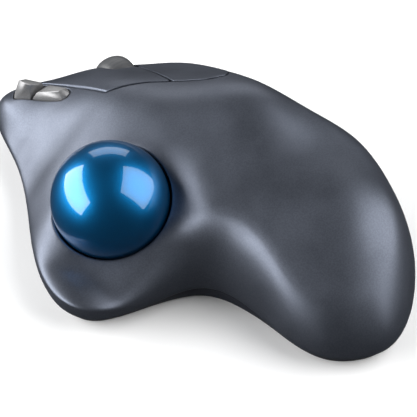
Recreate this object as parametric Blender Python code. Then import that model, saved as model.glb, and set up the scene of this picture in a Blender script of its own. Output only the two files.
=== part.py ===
"""Wireless thumb trackball mouse built as an assembly.  Lengths below are millimetres, Z up, +Y front."""
import math

import bmesh
import bpy
import numpy as np
from mathutils import Matrix, Vector

MM = 0.001

# ---------------------------------------------------------------- driving dimensions
LENGTH = 145.0
WIDTH = 95.0
WALL = 2.0
SKIN = 2.2
GAP = 0.3
SEAM_Z = 5.5
FLOOR_Z0 = 1.0
FLOOR_Z1 = 3.0
FOOT_Z0 = 0.0
BALL_R = 17.0
BALL_C = np.array([-19.2, 9.5, 24.0])
BALL_CLEAR = 0.5
CUP_R0 = 17.6
CUP_R1 = 19.8
CUP_TOP = 13.0
BEARING_R = 1.25
WHEEL_C = np.array([23.3, 51.0, 12.3])
WHEEL_TURN = 8.6
WHEEL_R = 8.8
WHEEL_W = 8.6
WHEEL_CROWN = 2.2
HUB_R = 5.9
AXLE_R = 0.95
SLOT_HALF = 5.0
SLOT_REAR = 4.6
GAP_TURN = 15.9
CELL_R = 7.15
CELL_L = 49.0
CELL_C = np.array([20.0, -27.5, 11.4])
DOOR_W = 19.0
BAY_REAR = 29.0
BAY_FRONT = 26.3
FRONT_LIP = 8.5
HUB_CENTRE = np.array([7.0, -10.0])
SPOKES = 72

# plan outline at the widest level, hand-set control points, anticlockwise from the front left nose
OUTLINE = [(-12.5, 66.5), (-18.8, 51.5), (-28.4, 35.5), (-40.8, 18.5), (-47.5, 3.0), (-45.0, -8.0),
           (-36.3, -13.5), (-24.7, -16.5), (-14.0, -20.0), (-8.7, -27.5), (-7.9, -39.0), (-8.2, -51.0),
           (-5.3, -62.0), (1.8, -69.3), (10.5, -72.5), (20.8, -70.0), (31.8, -62.8), (41.3, -51.0),
           (47.5, -34.0), (47.2, -17.0), (44.4, -2.0), (43.4, 14.0), (43.5, 29.0), (41.5, 42.0),
           (35.0, 52.5), (25.0, 61.5), (13.5, 66.8), (3.0, 71.3), (-5.5, 72.5)]
# deck heights on a coarse grid, rows rear to front every 25 mm, columns left to right every 20 mm
DECK_X0, DECK_DX = -50.0, 20.0
DECK_Y0, DECK_DY = -75.0, 25.0
DECK = np.array([[6.0, 7.0, 11.5, 15.0, 13.0, 3.0],
                 [10.5, 11.0, 18.5, 31.5, 34.5, 19.0],
                 [16.0, 19.5, 27.5, 35.8, 38.0, 34.5],
                 [21.5, 27.0, 31.0, 37.8, 42.0, 25.5],
                 [19.5, 26.0, 30.0, 35.5, 31.5, 27.0],
                 [14.0, 18.0, 20.0, 25.0, 17.5, 15.0],
                 [8.5, 9.5, 12.0, 5.0, 2.5, -3.5]])
# local lift of the front left nose: height, centre x, centre y, spread
NOSE = (2.7, -3.0, 63.0, 9.0)

# seams on the deck, plan view
LEFT_SEAM = [(0.6, 90.0), (1.0, 66.0), (3.5, 53.6), (4.8, 37.4)]
REAR_SEAM = [(15.2, 29.3), (19.5, 24.5)]
RIGHT_SEAM = [(25.8, 15.3), (30.5, 13.4), (35.0, 16.0), (38.0, 26.0), (38.2, 42.0), (38.2, 90.0)]
POCKET = [(-1.5, 49.6), (0.1, 48.7), (2.0, 49.2), (2.9, 51.4), (2.5, 54.5), (0.3, 65.0), (-1.6, 67.0),
          (-5.2, 67.0), (-7.7, 64.6)]
KEY_SPLIT = [(-5.0, 59.1), (1.7, 60.0)]


# ---------------------------------------------------------------- master surface
def spline_loop(points, per):
    """Closed cubic B-spline through the points."""
    pts = np.array(points, float)
    n = len(pts)
    m = np.zeros((n, n))
    for i in range(n):
        m[i, i] = 4 / 6
        m[i, (i + 1) % n] = 1 / 6
        m[i, (i - 1) % n] = 1 / 6
    c = np.linalg.solve(m, pts)
    u = np.arange(per) / per
    b = np.stack([(1 - u) ** 3, 3 * u ** 3 - 6 * u ** 2 + 4, -3 * u ** 3 + 3 * u ** 2 + 3 * u + 1, u ** 3], 1) / 6
    rows = [b @ np.stack([c[(i - 1) % n], c[i], c[(i + 1) % n], c[(i + 2) % n]]) for i in range(n)]
    return np.concatenate(rows)


def rim_curve():
    r = spline_loop(OUTLINE, 24)
    mid = (r.max(0) + r.min(0)) / 2
    return (r - mid) * np.array([WIDTH, LENGTH]) / (r.max(0) - r.min(0))


RIM = rim_curve()


def rim_distance(x, y):
    p = np.stack([x.ravel(), y.ravel()], 1)
    a = RIM
    d = np.roll(RIM, -1, 0) - a
    len2 = (d ** 2).sum(1)
    best = np.zeros(len(p))
    for k in range(0, len(p), 2000):
        q = p[k:k + 2000]
        t = np.clip(((q[:, None] - a[None]) * d[None]).sum(2) / len2, 0, 1)
        best[k:k + 2000] = np.linalg.norm(q[:, None] - (a[None] + t[..., None] * d[None]), axis=2).min(1)
    return best.reshape(x.shape)


def control_net(heights):
    out = heights
    for axis in (0, 1):
        n = out.shape[axis]
        m = np.eye(n)
        for i in range(1, n - 1):
            m[i, i - 1:i + 2] = 1 / 6, 4 / 6, 1 / 6
        out = np.apply_along_axis(lambda v: np.linalg.solve(m, v), axis, out)
    return np.pad(out, 1, mode='reflect', reflect_type='odd')


NET = control_net(DECK)


def basis(t, n):
    t = np.clip(t, 0, n - 1 - 1e-9)
    i = np.floor(t).astype(int)
    u = t - i
    b = np.stack([(1 - u) ** 3, 3 * u ** 3 - 6 * u ** 2 + 4, -3 * u ** 3 + 3 * u ** 2 + 3 * u + 1, u ** 3], -1)
    return i, b / 6


def deck_height(x, y):
    ix, bx = basis((x - DECK_X0) / DECK_DX, DECK.shape[1])
    iy, by = basis((y - DECK_Y0) / DECK_DY, DECK.shape[0])
    z = 0
    for a in range(4):
        for b in range(4):
            z = z + by[..., a] * bx[..., b] * NET[iy + a, ix + b]
    lift, cx, cy, spread = NOSE
    return z + lift * np.exp(-((x - cx) ** 2 + (y - cy) ** 2) / spread ** 2)


def ramp(t):
    t = np.clip(t, 0, 1)
    return t * t * (3 - 2 * t)


def thumb_face(x, y):
    """The sloping side face the ball sits in."""
    foot = BALL_C[0] + 14 * ramp((y - 7) / 32)
    slope = 0.45 + 0.40 * ramp((y - 14) / 38) + 0.45 * ramp((y - 50) / 14)
    lean = 4 * np.tanh((y - BALL_C[1]) / 14) * (1 - ramp((y - 19) / 25))
    beyond = x + 2.6 - 0.28 * y + 6.5 * np.exp(-((y + 16) / 14) ** 2)
    rise = 0.28 * (1 - ramp((y - 10) / 20)) * (beyond + np.sqrt(beyond ** 2 + 30.0))
    crest = 1.8 * np.exp(-((y - 34) / 7) ** 2) - 2.6 * np.exp(-((y - 54) / 7) ** 2)
    return BALL_C[2] + slope * (x - foot) + lean + rise + crest


def soft_min(a, b, k):
    return (a + b) / 2 - np.sqrt((a - b) ** 2 / 4 + k * k)


def widest(x, y):
    return 8.0 + 4.0 * np.exp(-(((x + 44) / 14) ** 2 + ((y - 3) / 26) ** 2))


def shoulder(x, y):
    nose = 6.0 * np.exp(-(((x + 9) / 13) ** 2 + ((y - 66) / 13) ** 2))
    return 10.0 - nose - 4.5 * np.exp(-(((x + 8) / 14) ** 2 + ((y + 46) / 18) ** 2))


def top_height(x, y, inset=0.0, drop=0.0):
    """Height of the skin; inset and drop give the inner face."""
    d = np.maximum(rim_distance(x, y) - inset, 0)
    w = widest(x, y)
    h = soft_min(deck_height(x, y), thumb_face(x, y), 1.2)
    h = -soft_min(-h, -(w + 2.0), 0.8) - drop
    t = np.clip(d / shoulder(x, y), 0, 1)
    return w + (h - w) * (1 - (1 - t) ** 2.3) ** (1 / 2.3)


def point_height(x, y):
    return float(top_height(np.array([float(x)]), np.array([float(y)]))[0])


def skirt_inset(r):
    return 1.2 + 1.6 * np.exp(-(((r[:, 0] + 44) / 16) ** 2 + ((r[:, 1] + 5) / 20) ** 2))


def base_inset(r):
    return skirt_inset(r) + 2.2 - 2.0 * np.exp(-(((r[:, 0] + 12) / 12) ** 2 + ((r[:, 1] + 26) / 14) ** 2))


def spoke_rim():
    """Rim points seen from the hub centre at even arc spacing, with outward normals."""
    step = np.linalg.norm(np.roll(RIM, -1, 0) - RIM, axis=1)
    s = np.concatenate([[0], np.cumsum(step)])
    want = np.arange(SPOKES) / SPOKES * s[-1]
    closed = np.concatenate([RIM, RIM[:1]])
    pts = np.stack([np.interp(want, s, closed[:, 0]), np.interp(want, s, closed[:, 1])], 1)
    ahead = np.stack([np.interp((want + 0.5) % s[-1], s, closed[:, k]) for k in (0, 1)], 1)
    tan = ahead - pts
    tan /= np.linalg.norm(tan, axis=1, keepdims=True)
    return pts, np.stack([tan[:, 1], -tan[:, 0]], 1)


# ---------------------------------------------------------------- mesh helpers
def clear_scene():
    for ob in list(bpy.data.objects):
        bpy.data.objects.remove(ob, do_unlink=True)


def material(name, colour, rough, metal=0.0):
    mat = bpy.data.materials.new(name)
    mat.use_nodes = True
    shader = mat.node_tree.nodes['Principled BSDF']
    shader.inputs['Base Color'].default_value = (colour[0], colour[1], colour[2], 1.0)
    shader.inputs['Roughness'].default_value = rough
    shader.inputs['Metallic'].default_value = metal
    mat.diffuse_color = (colour[0], colour[1], colour[2], 1.0)
    return mat


def body(verts, faces):
    """Plain mesh data from millimetre vertices."""
    return ([tuple(float(c) for c in v) for v in verts], [tuple(f) for f in faces])


def join(parts):
    verts, faces = [], []
    for v, f in parts:
        base = len(verts)
        verts += v
        faces += [tuple(i + base for i in face) for face in f]
    return verts, faces


def add(name, data, mat=None, origin=(0.0, 0.0, 0.0)):
    o = Vector(origin)
    mesh = bpy.data.meshes.new(name)
    mesh.from_pydata([(Vector(v) - o) * MM for v in data[0]], [], data[1])
    bm = bmesh.new()
    bm.from_mesh(mesh)
    bmesh.ops.recalc_face_normals(bm, faces=bm.faces)
    bm.to_mesh(mesh)
    bm.free()
    ob = bpy.data.objects.new(name, mesh)
    ob.location = o * MM
    bpy.context.collection.objects.link(ob)
    if mat is not None:
        mesh.materials.append(mat)
    return ob


def modify(ob, op, parts, tag):
    """Boolean with a hidden tool made of one or more bodies."""
    tool = add(ob.name + '_' + tag, join(parts))
    tool.hide_render = True
    tool.display_type = 'WIRE'
    mod = ob.modifiers.new(tag, 'BOOLEAN')
    mod.operation = op
    mod.solver = 'EXACT'
    mod.use_self = len(parts) > 1
    mod.object = tool
    return ob


def loft(loops, cap0=True, cap1=True):
    """Closed body through equal loops, capped with one face each end."""
    n = len(loops[0])
    verts = [v for loop in loops for v in loop]
    faces = []
    for k in range(len(loops) - 1):
        for i in range(n):
            j = (i + 1) % n
            faces.append((k * n + i, k * n + j, (k + 1) * n + j, (k + 1) * n + i))
    if cap0:
        faces.append(tuple(range(n))[::-1])
    if cap1:
        faces.append(tuple(range((len(loops) - 1) * n, len(loops) * n)))
    return body(verts, faces)


def box(x0, x1, y0, y1, z0, z1):
    lo = [(x0, y0, z0), (x1, y0, z0), (x1, y1, z0), (x0, y1, z0)]
    return loft([lo, [(x, y, z1) for x, y, _ in lo]])


def prism(poly, z0, z1):
    return loft([[(x, y, z0) for x, y in poly], [(x, y, z1) for x, y in poly]])


def ring(c, r, z, n):
    return [(c[0] + r * math.cos(2 * math.pi * i / n), c[1] + r * math.sin(2 * math.pi * i / n), z) for i in range(n)]


def cyl(c, r, z0, z1, n=20):
    return loft([ring(c, r, z0, n), ring(c, r, z1, n)])


def stack(c, levels, n=24):
    """Round body from (radius, z) levels."""
    return loft([ring(c, r, z, n) for r, z in levels])


def lathe(profile, n):
    """Closed profile of (radius, height) turned about Z, all radii above zero."""
    m = len(profile)
    verts = []
    for i in range(n):
        a = 2 * math.pi * i / n
        verts += [(r * math.cos(a), r * math.sin(a), z) for r, z in profile]
    faces = []
    for i in range(n):
        for k in range(m):
            a, b = i * m + k, i * m + (k + 1) % m
            c, d = ((i + 1) % n) * m + (k + 1) % m, ((i + 1) % n) * m + k
            faces.append((a, b, c, d))
    return body(verts, faces)


def move(data, matrix):
    return [tuple(matrix @ Vector(v)) for v in data[0]], data[1]


def ball(c, r, n, m):
    loops = []
    for k in range(1, m):
        a = math.pi * k / m
        loops.append(ring(c, r * math.sin(a), c[2] - r * math.cos(a), n))
    data = loft(loops, False, False)
    verts = data[0] + [(c[0], c[1], c[2] - r), (c[0], c[1], c[2] + r)]
    low, high = len(verts) - 2, len(verts) - 1
    top = (m - 2) * n
    faces = data[1] + [((i + 1) % n, i, low) for i in range(n)]
    faces += [(top + i, top + (i + 1) % n, high) for i in range(n)]
    return body(verts, faces)


def grow(poly, d):
    """Offset an anticlockwise or clockwise polygon outward by d."""
    p = np.array(poly, float)
    area = (p[:, 0] * np.roll(p[:, 1], -1) - np.roll(p[:, 0], -1) * p[:, 1]).sum()
    e = np.roll(p, -1, 0) - p
    e /= np.linalg.norm(e, axis=1, keepdims=True)
    nrm = np.stack([e[:, 1], -e[:, 0]], 1) * (1 if area > 0 else -1)
    prev = np.roll(nrm, 1, 0)
    mid = prev + nrm
    scale = 2.0 / (mid ** 2).sum(1, keepdims=True)
    return [tuple(q) for q in p + mid * scale * d]


def wheel_frame():
    a = math.radians(WHEEL_TURN)
    rot = Matrix(((math.cos(a), math.sin(a), 0), (-math.sin(a), math.cos(a), 0), (0, 0, 1)))
    return Matrix.Translation(Vector(WHEEL_C)) @ rot.to_4x4()


WF = wheel_frame()
AXLE_TURN = Matrix.Rotation(math.pi / 2, 4, 'Y')


def in_wheel(data):
    return move(data, WF)


# ---------------------------------------------------------------- skins
def ring_steps():
    return [0.0, 0.5, 1.4, 2.8, 4.8, 7.5, 10.5]


def top_grid(rim, nrm, inset, drop, inner_rings=9):
    """Rings of the top skin from the rim to just short of the hub, then the hub point."""
    start = rim - nrm * inset
    reach = np.linalg.norm(start - HUB_CENTRE, axis=1, keepdims=True)
    inward = (HUB_CENTRE - start) / reach
    cosine = np.clip(-(inward * nrm).sum(1, keepdims=True), 0.35, 1)
    loops = []
    for s in ring_steps():
        loops.append(start + inward * np.minimum(s / cosine, reach * 0.6))
    last = loops[-1]
    for k in range(1, inner_rings):
        loops.append(last + (HUB_CENTRE - last) * k / inner_rings)
    out = []
    for loop in loops:
        z = top_height(loop[:, 0], loop[:, 1], inset, drop)
        out.append([(p[0], p[1], h) for p, h in zip(loop, z)])
    hub = top_height(HUB_CENTRE[:1], HUB_CENTRE[1:], inset, drop)[0]
    return out, (HUB_CENTRE[0], HUB_CENTRE[1], hub)


def skirt_loops(rim, nrm, extra, levels=4):
    w = widest(rim[:, 0], rim[:, 1])
    ins = skirt_inset(rim)
    out = []
    for k in range(1, levels + 1):
        a = math.pi / 2 * k / levels
        z = w - (w - SEAM_Z) * math.sin(a)
        p = rim - nrm * (ins * (1 - math.cos(a)) + extra)[:, None]
        out.append([(q[0], q[1], h) for q, h in zip(p, z)])
    return out


def shell_body():
    """Whole upper skin as one closed solid: outer face, lower edge, inner face."""
    rim, nrm = spoke_rim()
    outer, hub0 = top_grid(rim, nrm, 0.0, 0.0)
    inner, hub1 = top_grid(rim, nrm, WALL, SKIN)
    loops = outer[::-1] + skirt_loops(rim, nrm, 0.0) + skirt_loops(rim, nrm, WALL)[::-1] + inner
    data = loft(loops, False, False)
    n = SPOKES
    verts = data[0] + [hub0, hub1]
    h0, h1 = len(verts) - 2, len(verts) - 1
    last = (len(loops) - 1) * n
    faces = data[1] + [((i + 1) % n, i, h0) for i in range(n)]
    faces += [(last + i, last + (i + 1) % n, h1) for i in range(n)]
    return body(verts, faces)


def button_region():
    return LEFT_SEAM + REAR_SEAM + RIGHT_SEAM


def gap_side(side):
    """One side of the gap between the main buttons: its rear end, its end at the wheel slot, the slot's side."""
    a = math.radians(GAP_TURN)
    along = Vector((math.sin(a), math.cos(a), 0))
    across = Vector((math.cos(a), -math.sin(a), 0))
    foot = Vector((*REAR_SEAM[-1], 0)) + across * side * 0.05
    start = WF.inverted() @ foot
    step = WF.inverted().to_3x3() @ along
    meet = start + step * (-SLOT_REAR - start[1]) / step[1]
    corners = [(meet[0], -SLOT_REAR), (side * SLOT_HALF, -SLOT_REAR), (side * SLOT_HALF, 40.0)]
    return [tuple(foot[:2])] + [tuple((WF @ Vector((x, y, 0)))[:2]) for x, y in corners]


def wheel_room():
    """Space round the wheel that lets it tilt down."""
    half = WHEEL_W / 2 + 0.7
    return in_wheel(move(cyl((0, 0), WHEEL_R + 0.9, -half, half, 40), AXLE_TURN))


def make_shell(mat):
    ob = add('top_shell', shell_body(), mat)
    tools = [prism(grow(button_region(), 0.05), FRONT_LIP - 1.6, 70), prism(POCKET, 6.8, 70),
             ball(BALL_C, BALL_R + BALL_CLEAR, 40, 24), wheel_room()]
    modify(ob, 'DIFFERENCE', tools, 'openings')
    posts = [shell_post(p) for p in SCREWS]
    modify(ob, 'UNION', posts, 'posts')
    modify(ob, 'DIFFERENCE', [cyl(p, 0.9, 3.0, 12.0, 12) for p in SCREWS], 'pilot_holes')
    return ob


POST_R = 2.6
SCREWS = [(-11.5, 48.0), (34.6, 6.0), (37.0, -30.0), (3.0, -57.0)]


def lowest_skin(p, r):
    """Lowest outer height on a circle, so a post never shows through the skin."""
    angles = [2 * math.pi * k / 8 for k in range(8)]
    return min(point_height(p[0] + r * math.cos(a), p[1] + r * math.sin(a)) for a in angles)


def shell_post(p):
    return cyl(p, POST_R, FLOOR_Z1 + 0.3, lowest_skin(p, POST_R) - 0.8, 16)


def seat_post(x, y, half, z0, inner):
    """Rib under a button, from just above its switch into the skin."""
    return box(x - half, x + half, y - half, y + half, z0, inner)


def make_button(name, poly, post, post_z, mat, axis):
    ob = add(name, shell_body(), mat)
    modify(ob, 'INTERSECT', [prism(poly, FRONT_LIP, 70)], 'edge')
    top = lowest_skin(post, 1.8) - 0.8
    modify(ob, 'UNION', [seat_post(post[0], post[1], 1.3, post_z, top)], 'rib')
    set_origin(ob, axis)
    return ob


def set_origin(ob, point):
    """Move the object origin to a millimetre point without moving the mesh."""
    shift = Vector(point) * MM - ob.location
    ob.data.transform(Matrix.Translation(-shift))
    ob.location = Vector(point) * MM


LEFT_POST = (6.6, 52.5)
RIGHT_POST = (32.4, 38.3)
POST_Z = 10.45
LEFT_AXIS = (10.0, 33.3, 21.0)
RIGHT_AXIS = (24.5, 19.5, 24.0)


def make_buttons(mat):
    left = grow(LEFT_SEAM + [REAR_SEAM[0]] + gap_side(-1), -GAP)
    right = grow(gap_side(1)[::-1] + RIGHT_SEAM, -GAP)
    make_button('left_button', left, LEFT_POST, POST_Z, mat, LEFT_AXIS)
    make_button('right_button', right, RIGHT_POST, POST_Z, mat, RIGHT_AXIS)
    relief = in_wheel(box(4.0, 6.4, -2.5, 2.4, -3.0, 2.35))
    modify(bpy.data.objects['right_button'], 'DIFFERENCE', [relief], 'relief')


def key_poly(which):
    """Pocket outline cut in two by the split line, pulled in by the working gap."""
    a, b = np.array(KEY_SPLIT[0]), np.array(KEY_SPLIT[1])
    d = b - a
    side = [d[0] * (p[1] - a[1]) - d[1] * (p[0] - a[0]) for p in POCKET]
    keep = []
    n = len(POCKET)
    for i in range(n):
        p, q = np.array(POCKET[i]), np.array(POCKET[(i + 1) % n])
        s, t = side[i] * which, side[(i + 1) % n] * which
        if s >= 0:
            keep.append(tuple(p))
        if s * t < 0:
            keep.append(tuple(p + (q - p) * s / (s - t)))
    return grow(keep, -GAP)


def key_body(poly, sink, rise, taper):
    c = np.mean(poly, axis=0)
    low, belt, mid, high = [], [], [], []
    for p in poly:
        z = point_height(c[0] * 0.5 + p[0] * 0.5, c[1] * 0.5 + p[1] * 0.5)
        q = c + (np.array(p) - c) * (1 - taper * 0.25)
        r = c + (np.array(p) - c) * (1 - taper)
        low.append((p[0], p[1], z - sink))
        belt.append((p[0], p[1], z + 0.1))
        mid.append((q[0], q[1], z + rise * 0.6))
        high.append((r[0], r[1], z + rise))
    return loft([low, belt, mid, high])


KEY_SINK = 3.4
BACK_KEY_ORIGIN = (-0.5, 54.0, 18.0)
FORWARD_KEY_ORIGIN = (-3.0, 63.0, 13.0)


def make_keys(mat):
    back = add('back_key', key_body(key_poly(-1), KEY_SINK, 2.4, 0.24), mat)
    set_origin(back, BACK_KEY_ORIGIN)
    forward = add('forward_key', key_body(key_poly(1), KEY_SINK, 5.4, 0.26), mat)
    set_origin(forward, FORWARD_KEY_ORIGIN)


# ---------------------------------------------------------------- base
def case_body():
    rim, nrm = spoke_rim()
    ins = skirt_inset(rim)
    low = base_inset(rim)

    def loop(extra, z, which):
        p = rim - nrm * (which + extra)[:, None]
        return [(q[0], q[1], z) for q in p]
    z_top = SEAM_Z - 0.2
    mid = (ins + low) / 2
    loops = [loop(-0.8, FLOOR_Z0, low + 1.6), loop(0.0, FLOOR_Z0 + 0.5, low), loop(0.0, 3.2, mid),
             loop(0.15, z_top, ins), loop(WALL, z_top, ins), loop(WALL + 0.2, FLOOR_Z1, mid)]
    return loft(loops)


BAY = (CELL_C[0] - DOOR_W / 2, CELL_C[0] + DOOR_W / 2, CELL_C[1] - BAY_REAR, CELL_C[1] + BAY_FRONT)
END_WALL = 1.2
EJECT_R = 5.0
PIVOT_B = -13.0
PIVOT_Z = -1.0


def case_posts():
    parts = []
    for side in (-1, 1):
        a0, a1 = sorted((side * 6.3, side * 8.0))
        parts.append(in_wheel(box(a0, a1, PIVOT_B - 1.9, PIVOT_B + 1.9, FLOOR_Z1 - 0.5 - WHEEL_C[2], PIVOT_Z + 2.2)))
    x0, x1, y0, y1 = BAY
    for y in (y0 + 3.0, y1 - 3.0):
        for x in (x0 - 2.2, x1 + 0.4):
            parts.append(box(x, x + 1.8, y - 1.5, y + 1.5, FLOOR_Z1 - 0.5, 12.0))
    parts.append(box(x0 - 2.2, x0 - 0.4, y0 + 6, y1 - 6, FLOOR_Z1 - 0.5, 9.0))
    parts.append(box(x1 + 0.4, x1 + 2.2, y0 + 6, y1 - 6, FLOOR_Z1 - 0.5, 9.0))
    middle = CELL_C[0]
    parts.append(box(middle - 5.5, middle + 5.5, y0 - END_WALL, y0, FLOOR_Z1 - 0.5, CELL_C[2] + 1.0))
    parts.append(box(middle - 6.5, middle + 6.5, y1, y1 + END_WALL, FLOOR_Z1 - 0.5, CELL_C[2] + 5.0))
    for p in BOARD_POSTS:
        parts.append(cyl(p, 2.0, FLOOR_Z1 - 0.5, BOARD_Z - 0.05, 12))
    return parts


BOARD_Z = 6.0
BOARD_POSTS = [(8.0, 2.0), (29.0, 2.0), (8.0, 28.0), (29.0, 28.0)]
SLIDER_C = (4.0, -8.0)


def case_cuts():
    x0, x1, y0, y1 = BAY
    cuts = [box(x0, x1, y0, y1, -2, FLOOR_Z1 + 1.0), cyl(BALL_C, EJECT_R, -2, 5, 24)]
    cuts += [cyl(p, 1.25, -2, 5, 12) for p in SCREWS]
    cuts += [cyl(p, 2.3, -2, 2.0, 16) for p in SCREWS]
    cuts.append(box(SLIDER_C[0] - 2.3, SLIDER_C[0] + 2.3, SLIDER_C[1] - 5.2, SLIDER_C[1] + 5.2, -2, 5))
    bore = move(move(cyl((0, 0), 1.35, -9, 9, 16), AXLE_TURN), Matrix.Translation((0, PIVOT_B, PIVOT_Z)))
    cuts += [in_wheel(bore), wheel_room()]
    return cuts


def make_case(mat):
    ob = add('bottom_case', case_body(), mat)
    modify(ob, 'UNION', case_posts(), 'posts')
    modify(ob, 'DIFFERENCE', case_cuts(), 'openings')
    return ob


FEET = [(-34.0, 6.0, 5.0), (-5.0, 55.0, 5.0), (28.0, 42.0, 5.0), (36.2, -20.0, 5.0), (2.0, -47.0, 4.5)]


def make_feet(mat):
    for k, (x, y, r) in enumerate(FEET):
        levels = [(r - 0.3, FOOT_Z0), (r, FOOT_Z0 + 0.3), (r, FLOOR_Z0 - 0.02)]
        add('foot_%d' % (k + 1), stack((x, y), levels, 28), mat)


def make_screws(mat):
    for k, p in enumerate(SCREWS):
        levels = [(1.5, 1.05), (2.0, 1.2), (2.0, 1.95), (0.8, 1.95), (0.8, 9.6), (0.3, 10.2)]
        ob = add('case_screw_%d' % (k + 1), stack(p, levels, 16), mat)
        cross = [box(p[0] - 1.0, p[0] + 1.0, p[1] - 0.2, p[1] + 0.2, 0.5, 1.5),
                 box(p[0] - 0.2, p[0] + 0.2, p[1] - 1.0, p[1] + 1.0, 0.5, 1.5)]
        modify(ob, 'DIFFERENCE', cross, 'drive')


# ---------------------------------------------------------------- ball support
def bearing_points():
    out = []
    for k in range(3):
        a = math.radians(90 + 120 * k)
        e = math.radians(48)
        r = BALL_R + 0.05 + BEARING_R
        out.append(BALL_C + r * np.array([math.cos(a) * math.cos(e), math.sin(a) * math.cos(e), -math.sin(e)]))
    return out


def cup_profile():
    """Section of the seat: spherical bowl on a short round foot, hole in the middle."""
    def arc(r, z0, z1, n):
        return [(math.sqrt(r * r - z * z), z) for z in np.linspace(z0, z1, n)]
    top = CUP_TOP - BALL_C[2]
    foot = FLOOR_Z1 + 0.02 - BALL_C[2]
    low_in = -math.sqrt(CUP_R0 ** 2 - EJECT_R ** 2)
    bowl_in = arc(CUP_R0, low_in, top, 7)
    bowl_out = arc(CUP_R1, top, -16.6, 6)
    return bowl_in + bowl_out + [(10.4, -18.4), (10.4, foot), (7.5, foot), (7.5, -19.4), (EJECT_R, -19.4)]


def make_ball_group(ball_mat, cup_mat, bead_mat):
    b = add('trackball', ball(BALL_C, BALL_R, 40, 24), ball_mat)
    set_origin(b, BALL_C)
    cup = add('ball_cup', move(lathe(cup_profile(), 32), Matrix.Translation(Vector(BALL_C))), cup_mat)
    pts = bearing_points()
    modify(cup, 'DIFFERENCE', [ball(p, BEARING_R + 0.12, 14, 10) for p in pts], 'sockets')
    for k, p in enumerate(pts):
        add('ball_bearing_%d' % (k + 1), ball(p, BEARING_R, 12, 8), bead_mat)


def make_sensor(lens_mat, board_mat):
    z = BALL_C[2] - 4.0
    x = BALL_C[0] + 17.6
    turn = Matrix.Translation((x, BALL_C[1], z)) @ AXLE_TURN
    lens = move(stack((0, 0), [(2.2, -0.6), (3.0, 0.4), (3.0, 2.2), (4.2, 2.2), (4.2, 3.0)], 20), turn)
    add('sensor_lens', lens, lens_mat)
    board = add('sensor_board', box(x + 3.1, x + 4.3, 2.0, 17.0, FLOOR_Z1 + 0.02, z + 5.2), board_mat)
    chip = box(x + 4.2, x + 6.2, 5.5, 13.5, z - 4.0, z + 4.0)
    modify(board, 'UNION', [chip], 'chip')


# ---------------------------------------------------------------- electronics
def make_boards(mat):
    ob = add('main_board', box(5.5, 31.5, 0.3, 31.0, BOARD_Z, BOARD_Z + 1.4), mat)
    chips = [box(12, 20, 8, 16, BOARD_Z + 1.3, BOARD_Z + 2.6), box(26, 31, 18, 24, BOARD_Z + 1.3, BOARD_Z + 2.2),
             cyl((24.5, 5.0), 2.4, BOARD_Z + 1.3, BOARD_Z + 6.0, 16)]
    modify(ob, 'UNION', chips, 'chips')


SWITCH_TOP = 9.5
MIDDLE_SWITCH = (-8.65, -4.6)
KEY_SWITCHES = [('back_key_switch', 0.4, 54.0), ('forward_key_switch', -2.6, 63.0)]
KEY_TO_NUB = 2.0
KEY_SWITCH_HALF = 2.4
NUB_H = 0.7


def switch_body(cx, cy, w, d):
    return box(cx - w / 2, cx + w / 2, cy - d / 2, cy + d / 2, FLOOR_Z1 + 0.02, SWITCH_TOP)


def make_switch(name, x, y, mats, frame=None):
    """Snap switch with its own travelling plunger."""
    place = (lambda d: move(d, frame)) if frame else (lambda d: d)
    ob = add(name, place(switch_body(x, y - 0.6, 5.0, 10.0)), mats[0])
    modify(ob, 'DIFFERENCE', [place(box(x - 1.15, x + 1.15, y - 0.9, y + 0.9, 6.4, 12))], 'well')
    plunger = place(box(x - 0.95, x + 0.95, y - 0.7, y + 0.7, 7.6, POST_Z - 0.1))
    add(name + '_plunger', plunger, mats[1], (x, y, 8.0) if not frame else tuple(frame @ Vector((x, y, 8.0))))


def make_switches(mats):
    make_switch('left_switch', LEFT_POST[0], LEFT_POST[1], mats)
    make_switch('right_switch', RIGHT_POST[0], RIGHT_POST[1], mats)
    flat = WF.copy()
    flat.translation = Vector((WHEEL_C[0], WHEEL_C[1], 0))
    make_switch('middle_switch', MIDDLE_SWITCH[0], MIDDLE_SWITCH[1], mats, flat)


def make_key_switches(mat):
    h = KEY_SWITCH_HALF
    for name, x, y in KEY_SWITCHES:
        top = point_height(x, y) - KEY_SINK - KEY_TO_NUB
        ob = add(name, box(x - h, x + h, y - h, y + h, FLOOR_Z1 + 0.02, top - NUB_H), mat)
        modify(ob, 'UNION', [cyl((x, y), 1.2, top - NUB_H - 0.1, top, 14)], 'nub')


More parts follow.
